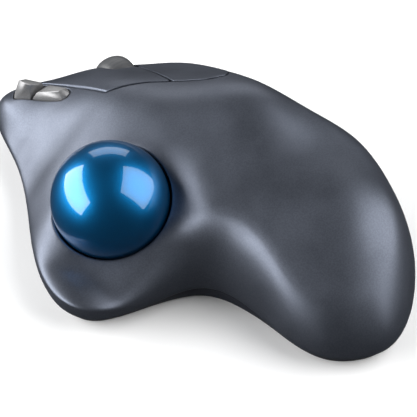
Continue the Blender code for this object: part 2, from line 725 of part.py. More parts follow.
# ---------------------------------------------------------------- scroll wheel
def make_wheel(hub_mat, tyre_mat, carrier_mat, encoder_mat):
    w = WHEEL_W / 2
    rim = HUB_R - 1.6
    hub = [(AXLE_R, -7.7), (AXLE_R, -1.0), (rim, -1.0), (rim, -w + 0.4), (HUB_R, -w + 0.4), (HUB_R, w - 0.4),
           (rim, w - 0.4), (rim, 1.0), (AXLE_R, 1.0), (AXLE_R, 6.0)]
    levels = [ring((0, 0), r, z, 32) for r, z in hub]
    ob = add('wheel_hub', in_wheel(move(loft(levels), AXLE_TURN)), hub_mat)
    set_origin(ob, WHEEL_C)
    tyre = [(HUB_R + 0.05, -w)]
    for k in range(9):
        a = math.pi * (k / 8 - 0.5)
        tyre.append((WHEEL_R - WHEEL_CROWN * (1 - math.cos(a)), w * math.sin(a)))
    tyre.append((HUB_R + 0.05, w))
    ob = add('wheel_tyre', in_wheel(move(lathe(tyre, 48), AXLE_TURN)), tyre_mat)
    set_origin(ob, WHEEL_C)
    arm = box(-6.0, -4.6, PIVOT_B - 1.6, 1.8, -2.4, 1.5)
    px, py = MIDDLE_SWITCH
    others = [box(4.6, 5.8, PIVOT_B - 1.6, 1.45, -2.4, 1.35), box(-5.0, 5.0, PIVOT_B - 1.6, PIVOT_B + 1.6, -2.3, 1.4),
              box(px - 1.2, -5.0, py - 1.1, py + 1.1, POST_Z - WHEEL_C[2], POST_Z - WHEEL_C[2] + 1.4)]
    pin = move(move(cyl((0, 0), 1.05, -8.4, 8.4, 16), AXLE_TURN), Matrix.Translation((0, PIVOT_B, PIVOT_Z)))
    ob = add('wheel_carrier', in_wheel(arm), carrier_mat)
    modify(ob, 'UNION', [in_wheel(p) for p in others + [pin]], 'frame')
    bores = [in_wheel(move(cyl((0, 0), AXLE_R + 0.2, -6.5, 6.5, 16), AXLE_TURN))]
    modify(ob, 'DIFFERENCE', bores, 'bores')
    set_origin(ob, tuple(WF @ Vector((0, PIVOT_B, PIVOT_Z))))
    ob = add('wheel_encoder', in_wheel(box(-8.4, -6.05, -2.8, 2.8, -2.0, 2.8)), encoder_mat)
    modify(ob, 'DIFFERENCE', [in_wheel(move(cyl((0, 0), AXLE_R + 0.2, -8.0, -5, 16), AXLE_TURN))], 'socket')


# ---------------------------------------------------------------- power
def make_power(cell_mat, metal_mat, door_mat, dark_mat, accent_mat):
    turn = Matrix.Translation(Vector(CELL_C)) @ Matrix.Rotation(-math.pi / 2, 4, 'X')
    h = CELL_L / 2
    cell = [(2.6, -h), (CELL_R - 0.5, -h), (CELL_R, -h + 0.5), (CELL_R, h - 0.9), (CELL_R - 0.6, h - 0.3),
            (2.7, h - 0.3), (2.7, h + 0.9), (2.3, h + 1.1)]
    add('battery_cell', move(stack((0, 0), cell, 28), turn), cell_mat)
    add('battery_spring', spring_body(turn, -h - 4.2, -h - 0.1), metal_mat)
    x, y, z = CELL_C
    plate = box(x - 5.5, x + 5.5, BAY[3] - 0.55, BAY[3] - 0.05, FLOOR_Z1 + 1.3, z + 4.8)
    add('battery_contact', plate, metal_mat)
    x0, x1, y0, y1 = BAY
    door = add('battery_door', box(x0 + GAP, x1 - GAP, y0 + GAP, y1 - GAP, FLOOR_Z0, FLOOR_Z1 - 0.2), door_mat)
    grips = [box(x - 5, x + 5, y0 + 6 + 2.2 * k, y0 + 6.9 + 2.2 * k, 0.5, FLOOR_Z0 + 0.5) for k in range(4)]
    latch = box(x - 3.5, x + 3.5, y1 - 5.3, y1 - 1.3, -1, 5)
    modify(door, 'DIFFERENCE', grips + [latch], 'grips')
    knob = box(x - 3.1, x + 3.1, y1 - 4.1, y1 - 1.6, FLOOR_Z0 + 0.1, FLOOR_Z1 - 0.3)
    add('door_latch', knob, accent_mat)
    sx, sy = SLIDER_C
    ob = add('power_slider', box(sx - 2.0, sx + 2.0, sy - 3.2, sy + 0.8, FLOOR_Z0 + 0.25, FLOOR_Z1), accent_mat)
    ribs = [box(sx - 1.5, sx + 1.5, sy - 2.4 + 1.0 * k, sy - 2.0 + 1.0 * k, 0, FLOOR_Z0 + 0.6) for k in range(3)]
    modify(ob, 'DIFFERENCE', ribs, 'ribs')
    body_box = box(sx - 3.4, sx + 3.4, sy - 7.0, sy + 7.0, FLOOR_Z1 + 0.05, FLOOR_Z1 + 2.9)
    add('power_switch', body_box, dark_mat)


def spring_body(turn, z0, z1):
    """Conical wire spring."""
    turns, per, sides, wire = 3.0, 14, 6, 0.28
    n = int(turns * per)
    loops = []
    for i in range(n + 1):
        t = i / n
        a = 2 * math.pi * turns * t
        r = 4.6 - 2.2 * t
        centre = Vector((r * math.cos(a), r * math.sin(a), z0 + wire + (z1 - z0 - 2 * wire) * t))
        out = Vector((math.cos(a), math.sin(a), 0))
        up = Vector((0, 0, 1))
        loops.append([tuple(turn @ (centre + wire * (out * math.cos(b) + up * math.sin(b))))
                      for b in [2 * math.pi * k / sides for k in range(sides)]])
    return loft(loops)


# ---------------------------------------------------------------- build
def main():
    clear_scene()
    slate = material('slate_plastic', (0.075, 0.082, 0.100), 0.38)
    key_mat = material('key_plastic', (0.26, 0.27, 0.29), 0.22)
    dark = material('dark_plastic', (0.022, 0.024, 0.030), 0.45)
    rubber = material('wheel_rubber', (0.035, 0.037, 0.042), 0.6)
    blue = material('ball_blue', (0.01, 0.16, 0.42), 0.08)
    bead = material('bearing_ceramic', (0.55, 0.56, 0.58), 0.15)
    clear = material('lens_clear', (0.6, 0.65, 0.7), 0.05)
    board = material('board_green', (0.02, 0.10, 0.05), 0.5)
    metal = material('contact_metal', (0.62, 0.60, 0.56), 0.25, 1.0)
    cell = material('cell_wrap', (0.08, 0.09, 0.10), 0.3)
    accent = material('accent_plastic', (0.35, 0.36, 0.38), 0.4)
    slick = material('foot_slick', (0.045, 0.047, 0.052), 0.35)
    make_shell(slate)
    make_buttons(slate)
    make_keys(key_mat)
    make_case(dark)
    make_feet(slick)
    make_screws(metal)
    make_ball_group(blue, dark, bead)
    make_sensor(clear, board)
    make_boards(board)
    make_switches((dark, accent))
    make_key_switches(dark)
    make_wheel(accent, rubber, dark, board)
    make_power(cell, metal, dark, dark, accent)


main()
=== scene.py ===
"""Looks of the thumb trackball mouse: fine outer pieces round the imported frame, materials, light, camera.

Lengths in the constants are millimetres in the frame's own axes: +Y front, +Z up.
"""
import math

import bmesh
import bpy
import numpy as np
from mathutils import Matrix, Vector
from mathutils.geometry import delaunay_2d_cdt


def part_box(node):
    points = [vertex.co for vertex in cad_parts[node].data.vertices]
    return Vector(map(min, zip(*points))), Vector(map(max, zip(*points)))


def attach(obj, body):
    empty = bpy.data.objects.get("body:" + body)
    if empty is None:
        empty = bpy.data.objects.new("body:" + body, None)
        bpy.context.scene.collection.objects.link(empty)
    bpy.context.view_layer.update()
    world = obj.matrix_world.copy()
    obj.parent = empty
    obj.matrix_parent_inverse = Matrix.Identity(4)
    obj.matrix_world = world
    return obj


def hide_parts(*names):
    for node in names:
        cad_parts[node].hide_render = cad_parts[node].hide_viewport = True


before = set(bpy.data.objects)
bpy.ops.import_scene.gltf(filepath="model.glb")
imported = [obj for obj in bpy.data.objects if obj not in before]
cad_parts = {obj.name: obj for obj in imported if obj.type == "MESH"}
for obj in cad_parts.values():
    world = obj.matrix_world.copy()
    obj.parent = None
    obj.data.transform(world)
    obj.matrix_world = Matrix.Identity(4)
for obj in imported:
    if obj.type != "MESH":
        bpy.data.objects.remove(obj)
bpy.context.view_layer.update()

MM = 0.001

# ---------------------------------------------------------------- sizes taken from the frame
BALL_LO, BALL_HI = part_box("trackball")
BALL_C = np.array((BALL_LO + BALL_HI) / 2) / MM
BALL_R = (BALL_HI - BALL_LO)[2] / 2 / MM
TYRE_LO, TYRE_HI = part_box("wheel_tyre")
WHEEL_C = np.array((TYRE_LO + TYRE_HI) / 2) / MM
WHEEL_R = (TYRE_HI - TYRE_LO)[2] / 2 / MM

# ---------------------------------------------------------------- driving dimensions of the skins
LENGTH = 145.0
WIDTH = 95.0
THICK = 2.0
GAP = 0.3
BALL_CLEAR = 0.45
BALL_EDGE = 0.8
# heights of the seam, the lip under the buttons, the lowest face of a button, the case and its floor
SEAM_Z = 5.5
LIP_Z = 6.75
BUTTON_FLOOR = 7.9
CASE_TOP = 5.3
FLOOR_Z0 = 1.0
FLOOR_Z1 = 3.0
# rise of the buttons over the shell, and the run from the rim that it takes
BUTTON_RISE, BUTTON_RISE_RUN = 0.22, 3
# radius of a seam's edges; the left button's outer edge is rounder, up to this x, easing over a run
EDGE = 0.35
PROUD_EDGE = 0.75
PROUD_X, PROUD_RUN = 4.2, 2.5
# run over which the inner face turns from straight down to square to the skin
INNER_TURN_RUN = 2.5
# scroll wheel, turned about Z, and the slot round it
WHEEL_TURN = 8.6
WHEEL_W = 8.6
WHEEL_CROWN = 2.2
GROOVE_DEPTH, TREAD_DROP = 0.06, 1.0
HUB_R = 5.9
SLOT_HALF = 5.0
SLOT_REAR = 4.6
SLOT_FRONT = 40.0
SLOT_CORNERS = (0.6, 0.5, 1.4)
GAP_TURN = 15.9
SPLIT_HALF = 0.05
# room left round the wheel as it tilts: beside the tyre and past its tread; beside it for the carrier's arm
WHEEL_SIDE_ROOM, WHEEL_TREAD_ROOM = 0.7, 0.9
ARM_ROOM = (3.9, 6.6, -2.7, 2.6, -4.0, 2.6)

# plan outline at the widest level, anticlockwise from the front left nose
OUTLINE = [(-12.5, 66.5), (-18.8, 51.5), (-28.4, 35.5), (-40.8, 18.5), (-47.5, 3.0), (-45.0, -8.0),
           (-36.3, -13.5), (-24.7, -16.5), (-14.0, -20.0), (-8.7, -27.5), (-7.9, -39.0), (-8.2, -51.0),
           (-5.3, -62.0), (1.8, -69.3), (10.5, -72.5), (20.8, -70.0), (31.8, -62.8), (41.3, -51.0),
           (47.5, -34.0), (47.2, -17.0), (44.4, -2.0), (43.4, 14.0), (43.5, 29.0), (41.5, 42.0),
           (35.0, 52.5), (25.0, 61.5), (13.5, 66.8), (3.0, 71.3), (-5.5, 72.5)]
# deck heights on a coarse grid, rows rear to front, columns left to right
DECK_X0, DECK_DX = -50.0, 20.0
DECK_Y0, DECK_DY = -75.0, 25.0
DECK = np.array([[6.0, 7.0, 11.5, 15.0, 13.0, 3.0],
                 [10.5, 11.0, 18.5, 31.5, 34.5, 19.0],
                 [16.0, 19.5, 27.5, 35.8, 38.0, 34.5],
                 [21.5, 27.0, 31.0, 37.8, 42.0, 25.5],
                 [19.5, 26.0, 30.0, 35.5, 31.5, 27.0],
                 [14.0, 18.0, 20.0, 25.0, 17.5, 15.0],
                 [8.5, 9.5, 12.0, 5.0, 2.5, -3.5]])
# local lift of the front left nose: height, centre x, centre y, spread
NOSE = (2.7, -3.0, 63.0, 9.0)
# side face the ball sits in; a run is the y where a change starts and the length it takes
FOOT_SHIFT, FOOT_RUN = 14, (7, 32)
FACE_SLOPE = 0.45
FACE_STEEPER = ((0.40, (14, 38)), (0.45, (50, 14)))
FACE_LEAN, LEAN_LENGTH, LEAN_END = 4, 14, (19, 25)
# riser behind the ball: its line x + a - b y, a bay in it as depth, y and length,
# then its slope, the square of its width, and the run where it ends
RISER_X, RISER_TURN = 2.6, 0.28
RISER_BAY = (6.5, -16, 14)
RISER_SLOPE, RISER_WIDTH, RISER_END = 0.28, 30.0, (10, 20)
# ripples along the face: height, y, length
FACE_RIPPLES = ((1.8, 34, 7), (-2.6, 54, 7))
# roundness of the blends between face and deck and above the rim, and the least rise over the rim
FACE_BLEND, RIM_BLEND, RIM_RISE = 1.2, 0.8, 2.0
# bulge of the shoulder's section, a power of the ellipse family
SHOULDER_POWER = 2.3
# local changes round the rim: amount, then centre x, y and spread x, y
WIDEST_Z, WIDEST_LOBE = 8.0, (4.0, -44, 3, 14, 26)
SHOULDER_RUN, SHOULDER_NOSE, SHOULDER_WAIST = 10.0, (6.0, -9, 66, 13, 13), (4.5, -8, -46, 14, 18)
SKIRT_INSET, SKIRT_LOBE = 1.2, (1.6, -44, -5, 16, 20)
BASE_INSET, BASE_WAIST = 2.2, (2.0, -12, -26, 12, 14)

# seams in plan view: x, y, corner radius
LEFT_SEAM = [(0.6, 90.0, 0.0), (1.0, 66.0, 20.0), (3.5, 53.6, 20.0), (4.8, 37.4, 0.7)]
REAR_SEAM = [(15.2, 29.3, 12.0), (19.5, 24.5, 0.8)]
RIGHT_SEAM = [(25.8, 15.3, 6.0), (30.5, 13.4, 1.6), (35.0, 16.0, 5.0), (38.0, 26.0, 12.0),
              (38.2, 42.0, 20.0), (38.2, 90.0, 0.0)]
POCKET = [(-1.5, 49.6, 1.5), (0.1, 48.7, 1.5), (2.0, 49.2, 1.2), (2.9, 51.4, 2.0), (2.5, 54.5, 6.0),
          (0.3, 65.0, 1.5), (-1.6, 67.0, 1.0), (-5.2, 67.0, 1.2), (-7.7, 64.6, 1.5)]
# side keys: the line between them, how deep they reach, corners of the flat top of each
KEY_SPLIT = [(-5.0, 59.1), (1.7, 60.0)]
KEY_SPLIT_CORNER = 0.25
KEY_SINK = 3.4
KEY_BEVEL = 0.32
BACK_TOP = [(-4.0, 57.4, 22.2), (-1.0, 51.5, 24.9), (2.0, 51.4, 24.5), (0.2, 56.6, 23.0)]
FORWARD_TOP = [(-5.9, 63.6, 24.1), (-4.9, 59.9, 24.1), (0.1, 60.4, 21.6), (-2.6, 64.6, 21.8)]

# ---------------------------------------------------------------- fineness of the meshes
GRID_STEP = 1.35
SEAM_STEPS = (0.0, 0.03, 0.1, 0.2, 0.34, 0.52, 0.76)
SEAM_KEEP = 1.15
RIM_RINGS = 14
BALL_LOOP_POINTS = 150
CASE_TURNS = 360
ON_RIM = 1e-4
# rows of the skirt, as shares of the turn above and below the lip under the buttons
SKIRT_ABOVE_LIP = (0.25, 0.6, 1.0)
SKIRT_BELOW_LIP = (0.12, 0.3, 0.5, 0.7, 0.86, 1.0)


# ---------------------------------------------------------------- master surface
def cubic_weights(u):
    second = 3 * u ** 3 - 6 * u ** 2 + 4
    third = -3 * u ** 3 + 3 * u ** 2 + 3 * u + 1
    return np.stack([(1 - u) ** 3, second, third, u ** 3], -1) / 6


def spline_loop(points, per):
    """Closed cubic B-spline through the points."""
    pts = np.array(points, float)
    n = len(pts)
    m = np.zeros((n, n))
    for i in range(n):
        m[i, i] = 4 / 6
        m[i, (i + 1) % n] = 1 / 6
        m[i, (i - 1) % n] = 1 / 6
    c = np.linalg.solve(m, pts)
    b = cubic_weights(np.arange(per) / per)
    rows = [b @ np.stack([c[(i - 1) % n], c[i], c[(i + 1) % n], c[(i + 2) % n]]) for i in range(n)]
    return np.concatenate(rows)


def rim_curve():
    r = spline_loop(OUTLINE, 24)
    mid = (r.max(0) + r.min(0)) / 2
    return (r - mid) * np.array([WIDTH, LENGTH]) / (r.max(0) - r.min(0))


def control_net(heights):
    out = heights
    for axis in (0, 1):
        n = out.shape[axis]
        m = np.eye(n)
        for i in range(1, n - 1):
            m[i, i - 1:i + 2] = 1 / 6, 4 / 6, 1 / 6
        out = np.apply_along_axis(lambda v: np.linalg.solve(m, v), axis, out)
    return np.pad(out, 1, mode='reflect', reflect_type='odd')


RIM = rim_curve()
NET = control_net(DECK)


def loop_distance(loop, x, y):
    """Distance from each point to a closed polyline, and the arc length of the nearest place on it."""
    p = np.stack([x, y], 1)
    a = np.asarray(loop)
    d = np.roll(a, -1, 0) - a
    size = np.linalg.norm(d, axis=1)
    start = np.concatenate([[0], np.cumsum(size)[:-1]])
    best = np.zeros(len(p))
    along = np.zeros(len(p))
    for k in range(0, len(p), 2000):
        q = p[k:k + 2000]
        t = np.clip(((q[:, None] - a[None]) * d[None]).sum(2) / size ** 2, 0, 1)
        gap = np.linalg.norm(q[:, None] - (a[None] + t[..., None] * d[None]), axis=2)
        near = gap.argmin(1)
        rows = np.arange(len(q))
        best[k:k + 2000] = gap[rows, near]
        along[k:k + 2000] = start[near] + t[rows, near] * size[near]
    return best, along


def deck_height(x, y):
    tx = np.clip((x - DECK_X0) / DECK_DX, 0, DECK.shape[1] - 1 - 1e-9)
    ty = np.clip((y - DECK_Y0) / DECK_DY, 0, DECK.shape[0] - 1 - 1e-9)
    ix, iy = np.floor(tx).astype(int), np.floor(ty).astype(int)
    bx, by = cubic_weights(tx - ix), cubic_weights(ty - iy)
    z = 0
    for a in range(4):
        for b in range(4):
            z = z + by[..., a] * bx[..., b] * NET[iy + a, ix + b]
    lift, cx, cy, spread = NOSE
    return z + lift * np.exp(-((x - cx) ** 2 + (y - cy) ** 2) / spread ** 2)


def ramp(t):
    t = np.clip(t, 0, 1)
    return t * t * (3 - 2 * t)


def along_run(y, run):
    """From 0 to 1 over a run."""
    start, length = run
    return ramp((y - start) / length)


def ripple(y, height, middle, length):
    return height * np.exp(-((y - middle) / length) ** 2)


def hill(x, y, shape):
    """Smooth local bump: height, centre x, y and spread x, y."""
    height, cx, cy, sx, sy = shape
    return height * np.exp(-(((x - cx) / sx) ** 2 + ((y - cy) / sy) ** 2))


def thumb_face(x, y):
    """The sloping side face the ball sits in."""
    foot = BALL_C[0] + FOOT_SHIFT * along_run(y, FOOT_RUN)
    slope = FACE_SLOPE
    for more, run in FACE_STEEPER:
        slope = slope + more * along_run(y, run)
    lean = FACE_LEAN * np.tanh((y - BALL_C[1]) / LEAN_LENGTH) * (1 - along_run(y, LEAN_END))
    beyond = x + RISER_X - RISER_TURN * y + ripple(y, *RISER_BAY)
    rise = RISER_SLOPE * (1 - along_run(y, RISER_END)) * (beyond + np.sqrt(beyond ** 2 + RISER_WIDTH))
    crest = sum(ripple(y, *r) for r in FACE_RIPPLES)
    return BALL_C[2] + slope * (x - foot) + lean + rise + crest


def soft_min(a, b, k):
    return (a + b) / 2 - np.sqrt((a - b) ** 2 / 4 + k * k)


def widest(x, y):
    """Height of the widest level."""
    return WIDEST_Z + hill(x, y, WIDEST_LOBE)


def shoulder(x, y):
    """How far in from the rim the skin reaches its full height."""
    return SHOULDER_RUN - hill(x, y, SHOULDER_NOSE) - hill(x, y, SHOULDER_WAIST)


def skin_height(x, y):
    d = loop_distance(RIM, x, y)[0]
    d[d < ON_RIM] = 0
    w = widest(x, y)
    h = soft_min(deck_height(x, y), thumb_face(x, y), FACE_BLEND)
    h = -soft_min(-h, -(w + RIM_RISE), RIM_BLEND)
    t = np.clip(d / shoulder(x, y), 0, 1)
    return w + (h - w) * (1 - (1 - t) ** SHOULDER_POWER) ** (1 / SHOULDER_POWER)


def skirt_inset(x, y):
    """How far the skirt's lower edge lies in from the rim."""
    return SKIRT_INSET + hill(x, y, SKIRT_LOBE)


def base_inset(x, y):
    """How far the case's lower edge lies in from the rim."""
    return skirt_inset(x, y) + BASE_INSET - hill(x, y, BASE_WAIST)


# ---------------------------------------------------------------- plan curves
def loop_normals(loop):
    """Outward unit normals of an anticlockwise loop."""
    tan = np.roll(loop, -1, 0) - np.roll(loop, 1, 0)
    tan /= np.linalg.norm(tan, axis=1, keepdims=True)
    return np.stack([tan[:, 1], -tan[:, 0]], 1)


def anticlockwise(loop):
    x, y = loop[:, 0], loop[:, 1]
    area = (x * np.roll(y, -1) - np.roll(x, -1) * y).sum()
    return loop if area > 0 else loop[::-1]


def shift_edges(poly, d):
    """Polygon with every edge moved outward by d, corners kept; poly rows are x, y, corner radius."""
    p = np.array(poly, float)
    area = (p[:, 0] * np.roll(p[:, 1], -1) - np.roll(p[:, 0], -1) * p[:, 1]).sum()
    e = np.roll(p[:, :2], -1, 0) - p[:, :2]
    e /= np.linalg.norm(e, axis=1, keepdims=True)
    nrm = np.stack([e[:, 1], -e[:, 0]], 1) * (1 if area > 0 else -1)
    mid = np.roll(nrm, 1, 0) + nrm
    scale = 2.0 / (mid ** 2).sum(1, keepdims=True)
    return np.column_stack([p[:, :2] + mid * scale * d, p[:, 2]])


def rounded(poly, step=0.55):
    """Closed loop with an arc at each corner and even points along the straights."""
    p = np.array(poly, float)
    n = len(p)
    out = []
    for i in range(n):
        q, a, b = p[i, :2], p[i - 1, :2], p[(i + 1) % n, :2]
        u, v = a - q, b - q
        lu, lv = np.linalg.norm(u), np.linalg.norm(v)
        u, v = u / lu, v / lv
        half = math.acos(np.clip(u @ v, -1, 1)) / 2
        t = min(p[i, 2] / math.tan(half), 0.45 * lu, 0.45 * lv)
        r = t * math.tan(half)
        turn = math.pi - 2 * half
        if r < 1e-6 or turn < 1e-3:
            out.append(q)
            continue
        middle = (u + v) / np.linalg.norm(u + v)
        c = q + middle * r / math.sin(half)
        s, e = q + u * t - c, q + v * t - c
        count = max(2, int(math.ceil(turn / 0.2)), int(r * turn / step))
        for k in range(count + 1):
            w = k / count
            arm = (math.sin((1 - w) * turn) * s + math.sin(w * turn) * e) / math.sin(turn)
            out.append(c + arm)
    return anticlockwise(fill_gaps(np.array(out), step))


def fill_gaps(loop, step):
    out = []
    for a, b in zip(loop, np.roll(loop, -1, 0)):
        n = max(1, int(math.ceil(np.linalg.norm(b - a) / step)))
        out += [a + (b - a) * k / n for k in range(n)]
    return np.array(out)


def inside(loop, x, y):
    """Even-odd test of points against a closed loop."""
    hit = np.zeros(len(x), bool)
    for (ax, ay), (bx, by) in zip(loop, np.roll(loop, -1, 0)):
        if ay == by:
            continue
        crosses = (ay > y) != (by > y)
        hit ^= crosses & (x < ax + (y - ay) * (bx - ax) / (by - ay))
    return hit


def wheel_frame():
    a = math.radians(WHEEL_TURN)
    rot = Matrix(((math.cos(a), math.sin(a), 0), (-math.sin(a), math.cos(a), 0), (0, 0, 1)))
    return Matrix.Translation(Vector(WHEEL_C)) @ rot.to_4x4()


WF = wheel_frame()


def gap_side(side):
    """One side of the gap between the main buttons, then of the wheel slot, as x, y, corner radius."""
    a = math.radians(GAP_TURN)
    along = Vector((math.sin(a), math.cos(a), 0))
    across = Vector((math.cos(a), -math.sin(a), 0))
    foot = Vector((*REAR_SEAM[-1][:2], 0)) + across * side * SPLIT_HALF
    start = WF.inverted() @ foot
    step = WF.inverted().to_3x3() @ along
    meet = start + step * (-SLOT_REAR - start[1]) / step[1]
    end_r, meet_r, slot_r = SLOT_CORNERS
    corners = [(meet[0], -SLOT_REAR, meet_r), (side * SLOT_HALF, -SLOT_REAR, slot_r),
               (side * SLOT_HALF, SLOT_FRONT, 0.0)]
    return [(foot[0], foot[1], end_r)] + [(*(WF @ Vector((x, y, 0)))[:2], r) for x, y, r in corners]


def button_loops():
    left = shift_edges(LEFT_SEAM + [REAR_SEAM[0]] + gap_side(-1), -GAP)
    right = shift_edges(gap_side(1)[::-1] + RIGHT_SEAM, -GAP)
    return rounded(left), rounded(right)


def ball_loop(extra):
    """Plan curve of the skin at a set distance outside the ball's opening, found by halving."""
    n = BALL_LOOP_POINTS
    a = np.arange(n) * 2 * math.pi / n
    lo, hi = np.full(n, 8.0), np.full(n, 22.0)
    for _ in range(34):
        r = (lo + hi) / 2
        x, y = BALL_C[0] + r * np.cos(a), BALL_C[1] + r * np.sin(a)
        far = ball_gap(x, y, skin_height(x, y)) > extra
        hi = np.where(far, r, hi)
        lo = np.where(far, lo, r)
    return np.stack([BALL_C[0] + hi * np.cos(a), BALL_C[1] + hi * np.sin(a)], 1)


def ball_gap(x, y, z):
    """Distance outside the spherical opening round the ball."""
    return np.sqrt((x - BALL_C[0]) ** 2 + (y - BALL_C[1]) ** 2 + (z - BALL_C[2]) ** 2) - BALL_R - BALL_CLEAR


# ---------------------------------------------------------------- one triangulation for all skins
class Plan:
    """Constrained triangulation of the plan, cut along the rim, the seams and the openings."""

    def __init__(self):
        self.button_edge = rounded(LEFT_SEAM + REAR_SEAM + RIGHT_SEAM)
        self.left_edge, self.right_edge = button_loops()
        self.pocket_edge = rounded(POCKET)
        self.ball_edge = ball_loop(0.0)
        points, edges = self.collect()
        made = delaunay_2d_cdt([Vector(p) for p in points], edges, [], 0, 1e-6)
        self.xy = np.array([tuple(v) for v in made[0]])
        self.tris = np.array(made[2])
        x, y = self.xy.T
        self.z = skin_height(x, y)
        self.rim_gap, self.rim_along = loop_distance(RIM, x, y)
        self.normals = self.find_normals()
        mid = self.xy[self.tris].mean(1)
        self.mid = mid.T
        self.in_rim = inside(RIM, *self.mid)

    def collect(self):
        points, edges = [], []

        def add(loop, closed=True, keep=None):
            base = len(points)
            points.extend(map(tuple, loop))
            n = len(loop)
            for i in range(n if closed else n - 1):
                j = (i + 1) % n
                if keep is None or (keep[i] and keep[j]):
                    edges.append((base + i, base + j))
        for s in SEAM_STEPS:
            for loop, sign in ((self.button_edge, 1), (self.pocket_edge, 1),
                               (self.left_edge, -1), (self.right_edge, -1)):
                add(loop + sign * s * loop_normals(loop))
            add(ball_loop(s * BALL_EDGE / SEAM_STEPS[-1]))
        nrm = loop_normals(RIM)
        wide = shoulder(*RIM.T)
        for k in range(RIM_RINGS):
            t = 1 - math.cos(math.pi / 2 * k / RIM_RINGS) ** (2 / SHOULDER_POWER)
            loop = RIM - nrm * (wide * t)[:, None]
            true = loop_distance(RIM, *loop.T)[0]
            keep = true > wide * t * 0.97 - 1e-9
            if k == 0:
                add(loop)
                continue
            for run in np.split(np.arange(len(loop)), np.nonzero(~keep)[0]):
                run = run[keep[run]]
                if len(run) > 1:
                    add(loop[run], closed=False)
            if keep.all():
                edges.append((len(points) - 1, len(points) - len(loop)))
        points.extend(map(tuple, self.interior()))
        return points, edges

    def interior(self):
        """Even hexagonal points well inside the rim and clear of the seams."""
        xs = np.arange(-WIDTH / 2, WIDTH / 2, GRID_STEP)
        ys = np.arange(-LENGTH / 2, LENGTH / 2, GRID_STEP * 0.866)
        gx, gy = np.meshgrid(xs, ys)
        gx[1::2] += GRID_STEP / 2
        x, y = gx.ravel(), gy.ravel()
        ok = inside(RIM, x, y)
        x, y = x[ok], y[ok]
        ok = loop_distance(RIM, x, y)[0] > shoulder(x, y) * 0.95
        for loop in (self.button_edge, self.left_edge, self.right_edge, self.pocket_edge, self.ball_edge):
            ok &= loop_distance(loop, x, y)[0] > SEAM_KEEP
        return np.stack([x[ok], y[ok]], 1)

    def find_normals(self):
        p = np.column_stack([self.xy, self.z])
        a, b, c = (p[self.tris[:, k]] for k in range(3))
        flat = np.cross(b - a, c - a)
        out = np.zeros_like(p)
        for k in range(3):
            np.add.at(out, self.tris[:, k], flat)
        out /= np.maximum(np.linalg.norm(out, axis=1, keepdims=True), 1e-12)
        return out

    def region(self, name):
        x, y = self.mid
        if name == 'left':
            return self.in_rim & inside(self.left_edge, x, y)
        if name == 'right':
            return self.in_rim & inside(self.right_edge, x, y)
        hole = inside(self.button_edge, x, y) | inside(self.pocket_edge, x, y)
        return self.in_rim & ~hole & ~inside(self.ball_edge, x, y)


def round_over(gap, radius):
    """How far a rounded edge falls below the skin at a distance from the seam."""
    t = np.clip(radius - gap, 0, None)
    return radius - np.sqrt(np.maximum(radius ** 2 - np.minimum(t, radius) ** 2, 0))


def rim_frame(along):
    """Point and outward normal of the rim at arc lengths."""
    d = np.roll(RIM, -1, 0) - RIM
    size = np.linalg.norm(d, axis=1)
    s = np.concatenate([[0], np.cumsum(size)])
    closed = np.concatenate([RIM, RIM[:1]])
    nrm = loop_normals(RIM)
    nrm = np.concatenate([nrm, nrm[:1]])
    p = np.stack([np.interp(along, s, closed[:, k]) for k in (0, 1)], 1)
    n = np.stack([np.interp(along, s, nrm[:, k]) for k in (0, 1)], 1)
    return p, n / np.linalg.norm(n, axis=1, keepdims=True)


def skirt_turns(w):
    """Angles of the skirt's rows, one of them at the lip under the buttons."""
    lip = np.arcsin(np.clip((w - LIP_Z) / (w - SEAM_Z), 0, 1))
    rest = math.pi / 2 - lip
    return [lip * f for f in SKIRT_ABOVE_LIP] + [lip + rest * f for f in SKIRT_BELOW_LIP]


def solid_mesh(outer, inner, faces):
    """Closed body from outer faces, the same faces on the inner points, and walls along free edges."""
    n = len(outer)
    count = {}
    for f in faces:
        for a, b in zip(f, f[1:] + f[:1]):
            count[(a, b)] = count.get((a, b), 0) + 1
    walls = [(b, a, a + n, b + n) for a, b in count if (b, a) not in count]
    back = [tuple(i + n for i in f[::-1]) for f in faces]
    verts = np.concatenate([outer, inner])
    used = sorted({i for f in faces for i in f} | {i + n for f in faces for i in f})
    place = {old: new for new, old in enumerate(used)}
    every = [tuple(place[i] for i in f) for f in faces + back + walls]
    return verts[used], every


def skin_directions(plan, edge_gap):
    """Unit direction from the outer to the inner face: down at a seam, along the normal away from it."""
    w = ramp(edge_gap / INNER_TURN_RUN)[:, None]
    d = -plan.normals * w + np.array([0, 0, -1.0]) * (1 - w)
    return d / np.linalg.norm(d, axis=1, keepdims=True)


def shell_piece(plan):
    x, y = plan.xy.T
    seam = loop_distance(plan.button_edge, x, y)[0]
    pocket = loop_distance(plan.pocket_edge, x, y)[0]
    drop = np.maximum(round_over(seam, EDGE), round_over(pocket, EDGE))
    outer = np.column_stack([plan.xy, plan.z])
    inner = outer + skin_directions(plan, np.minimum(seam, pocket)) * THICK
    outer[:, 2] -= drop
    inner[:, 2] -= drop * 0.5
    outer -= plan.normals * round_over(np.maximum(ball_gap(x, y, plan.z), 0), BALL_EDGE)[:, None]
    faces = [tuple(map(int, t)) for t in plan.tris[plan.region('shell')]]
    return add_skirt(plan, outer, inner, faces)


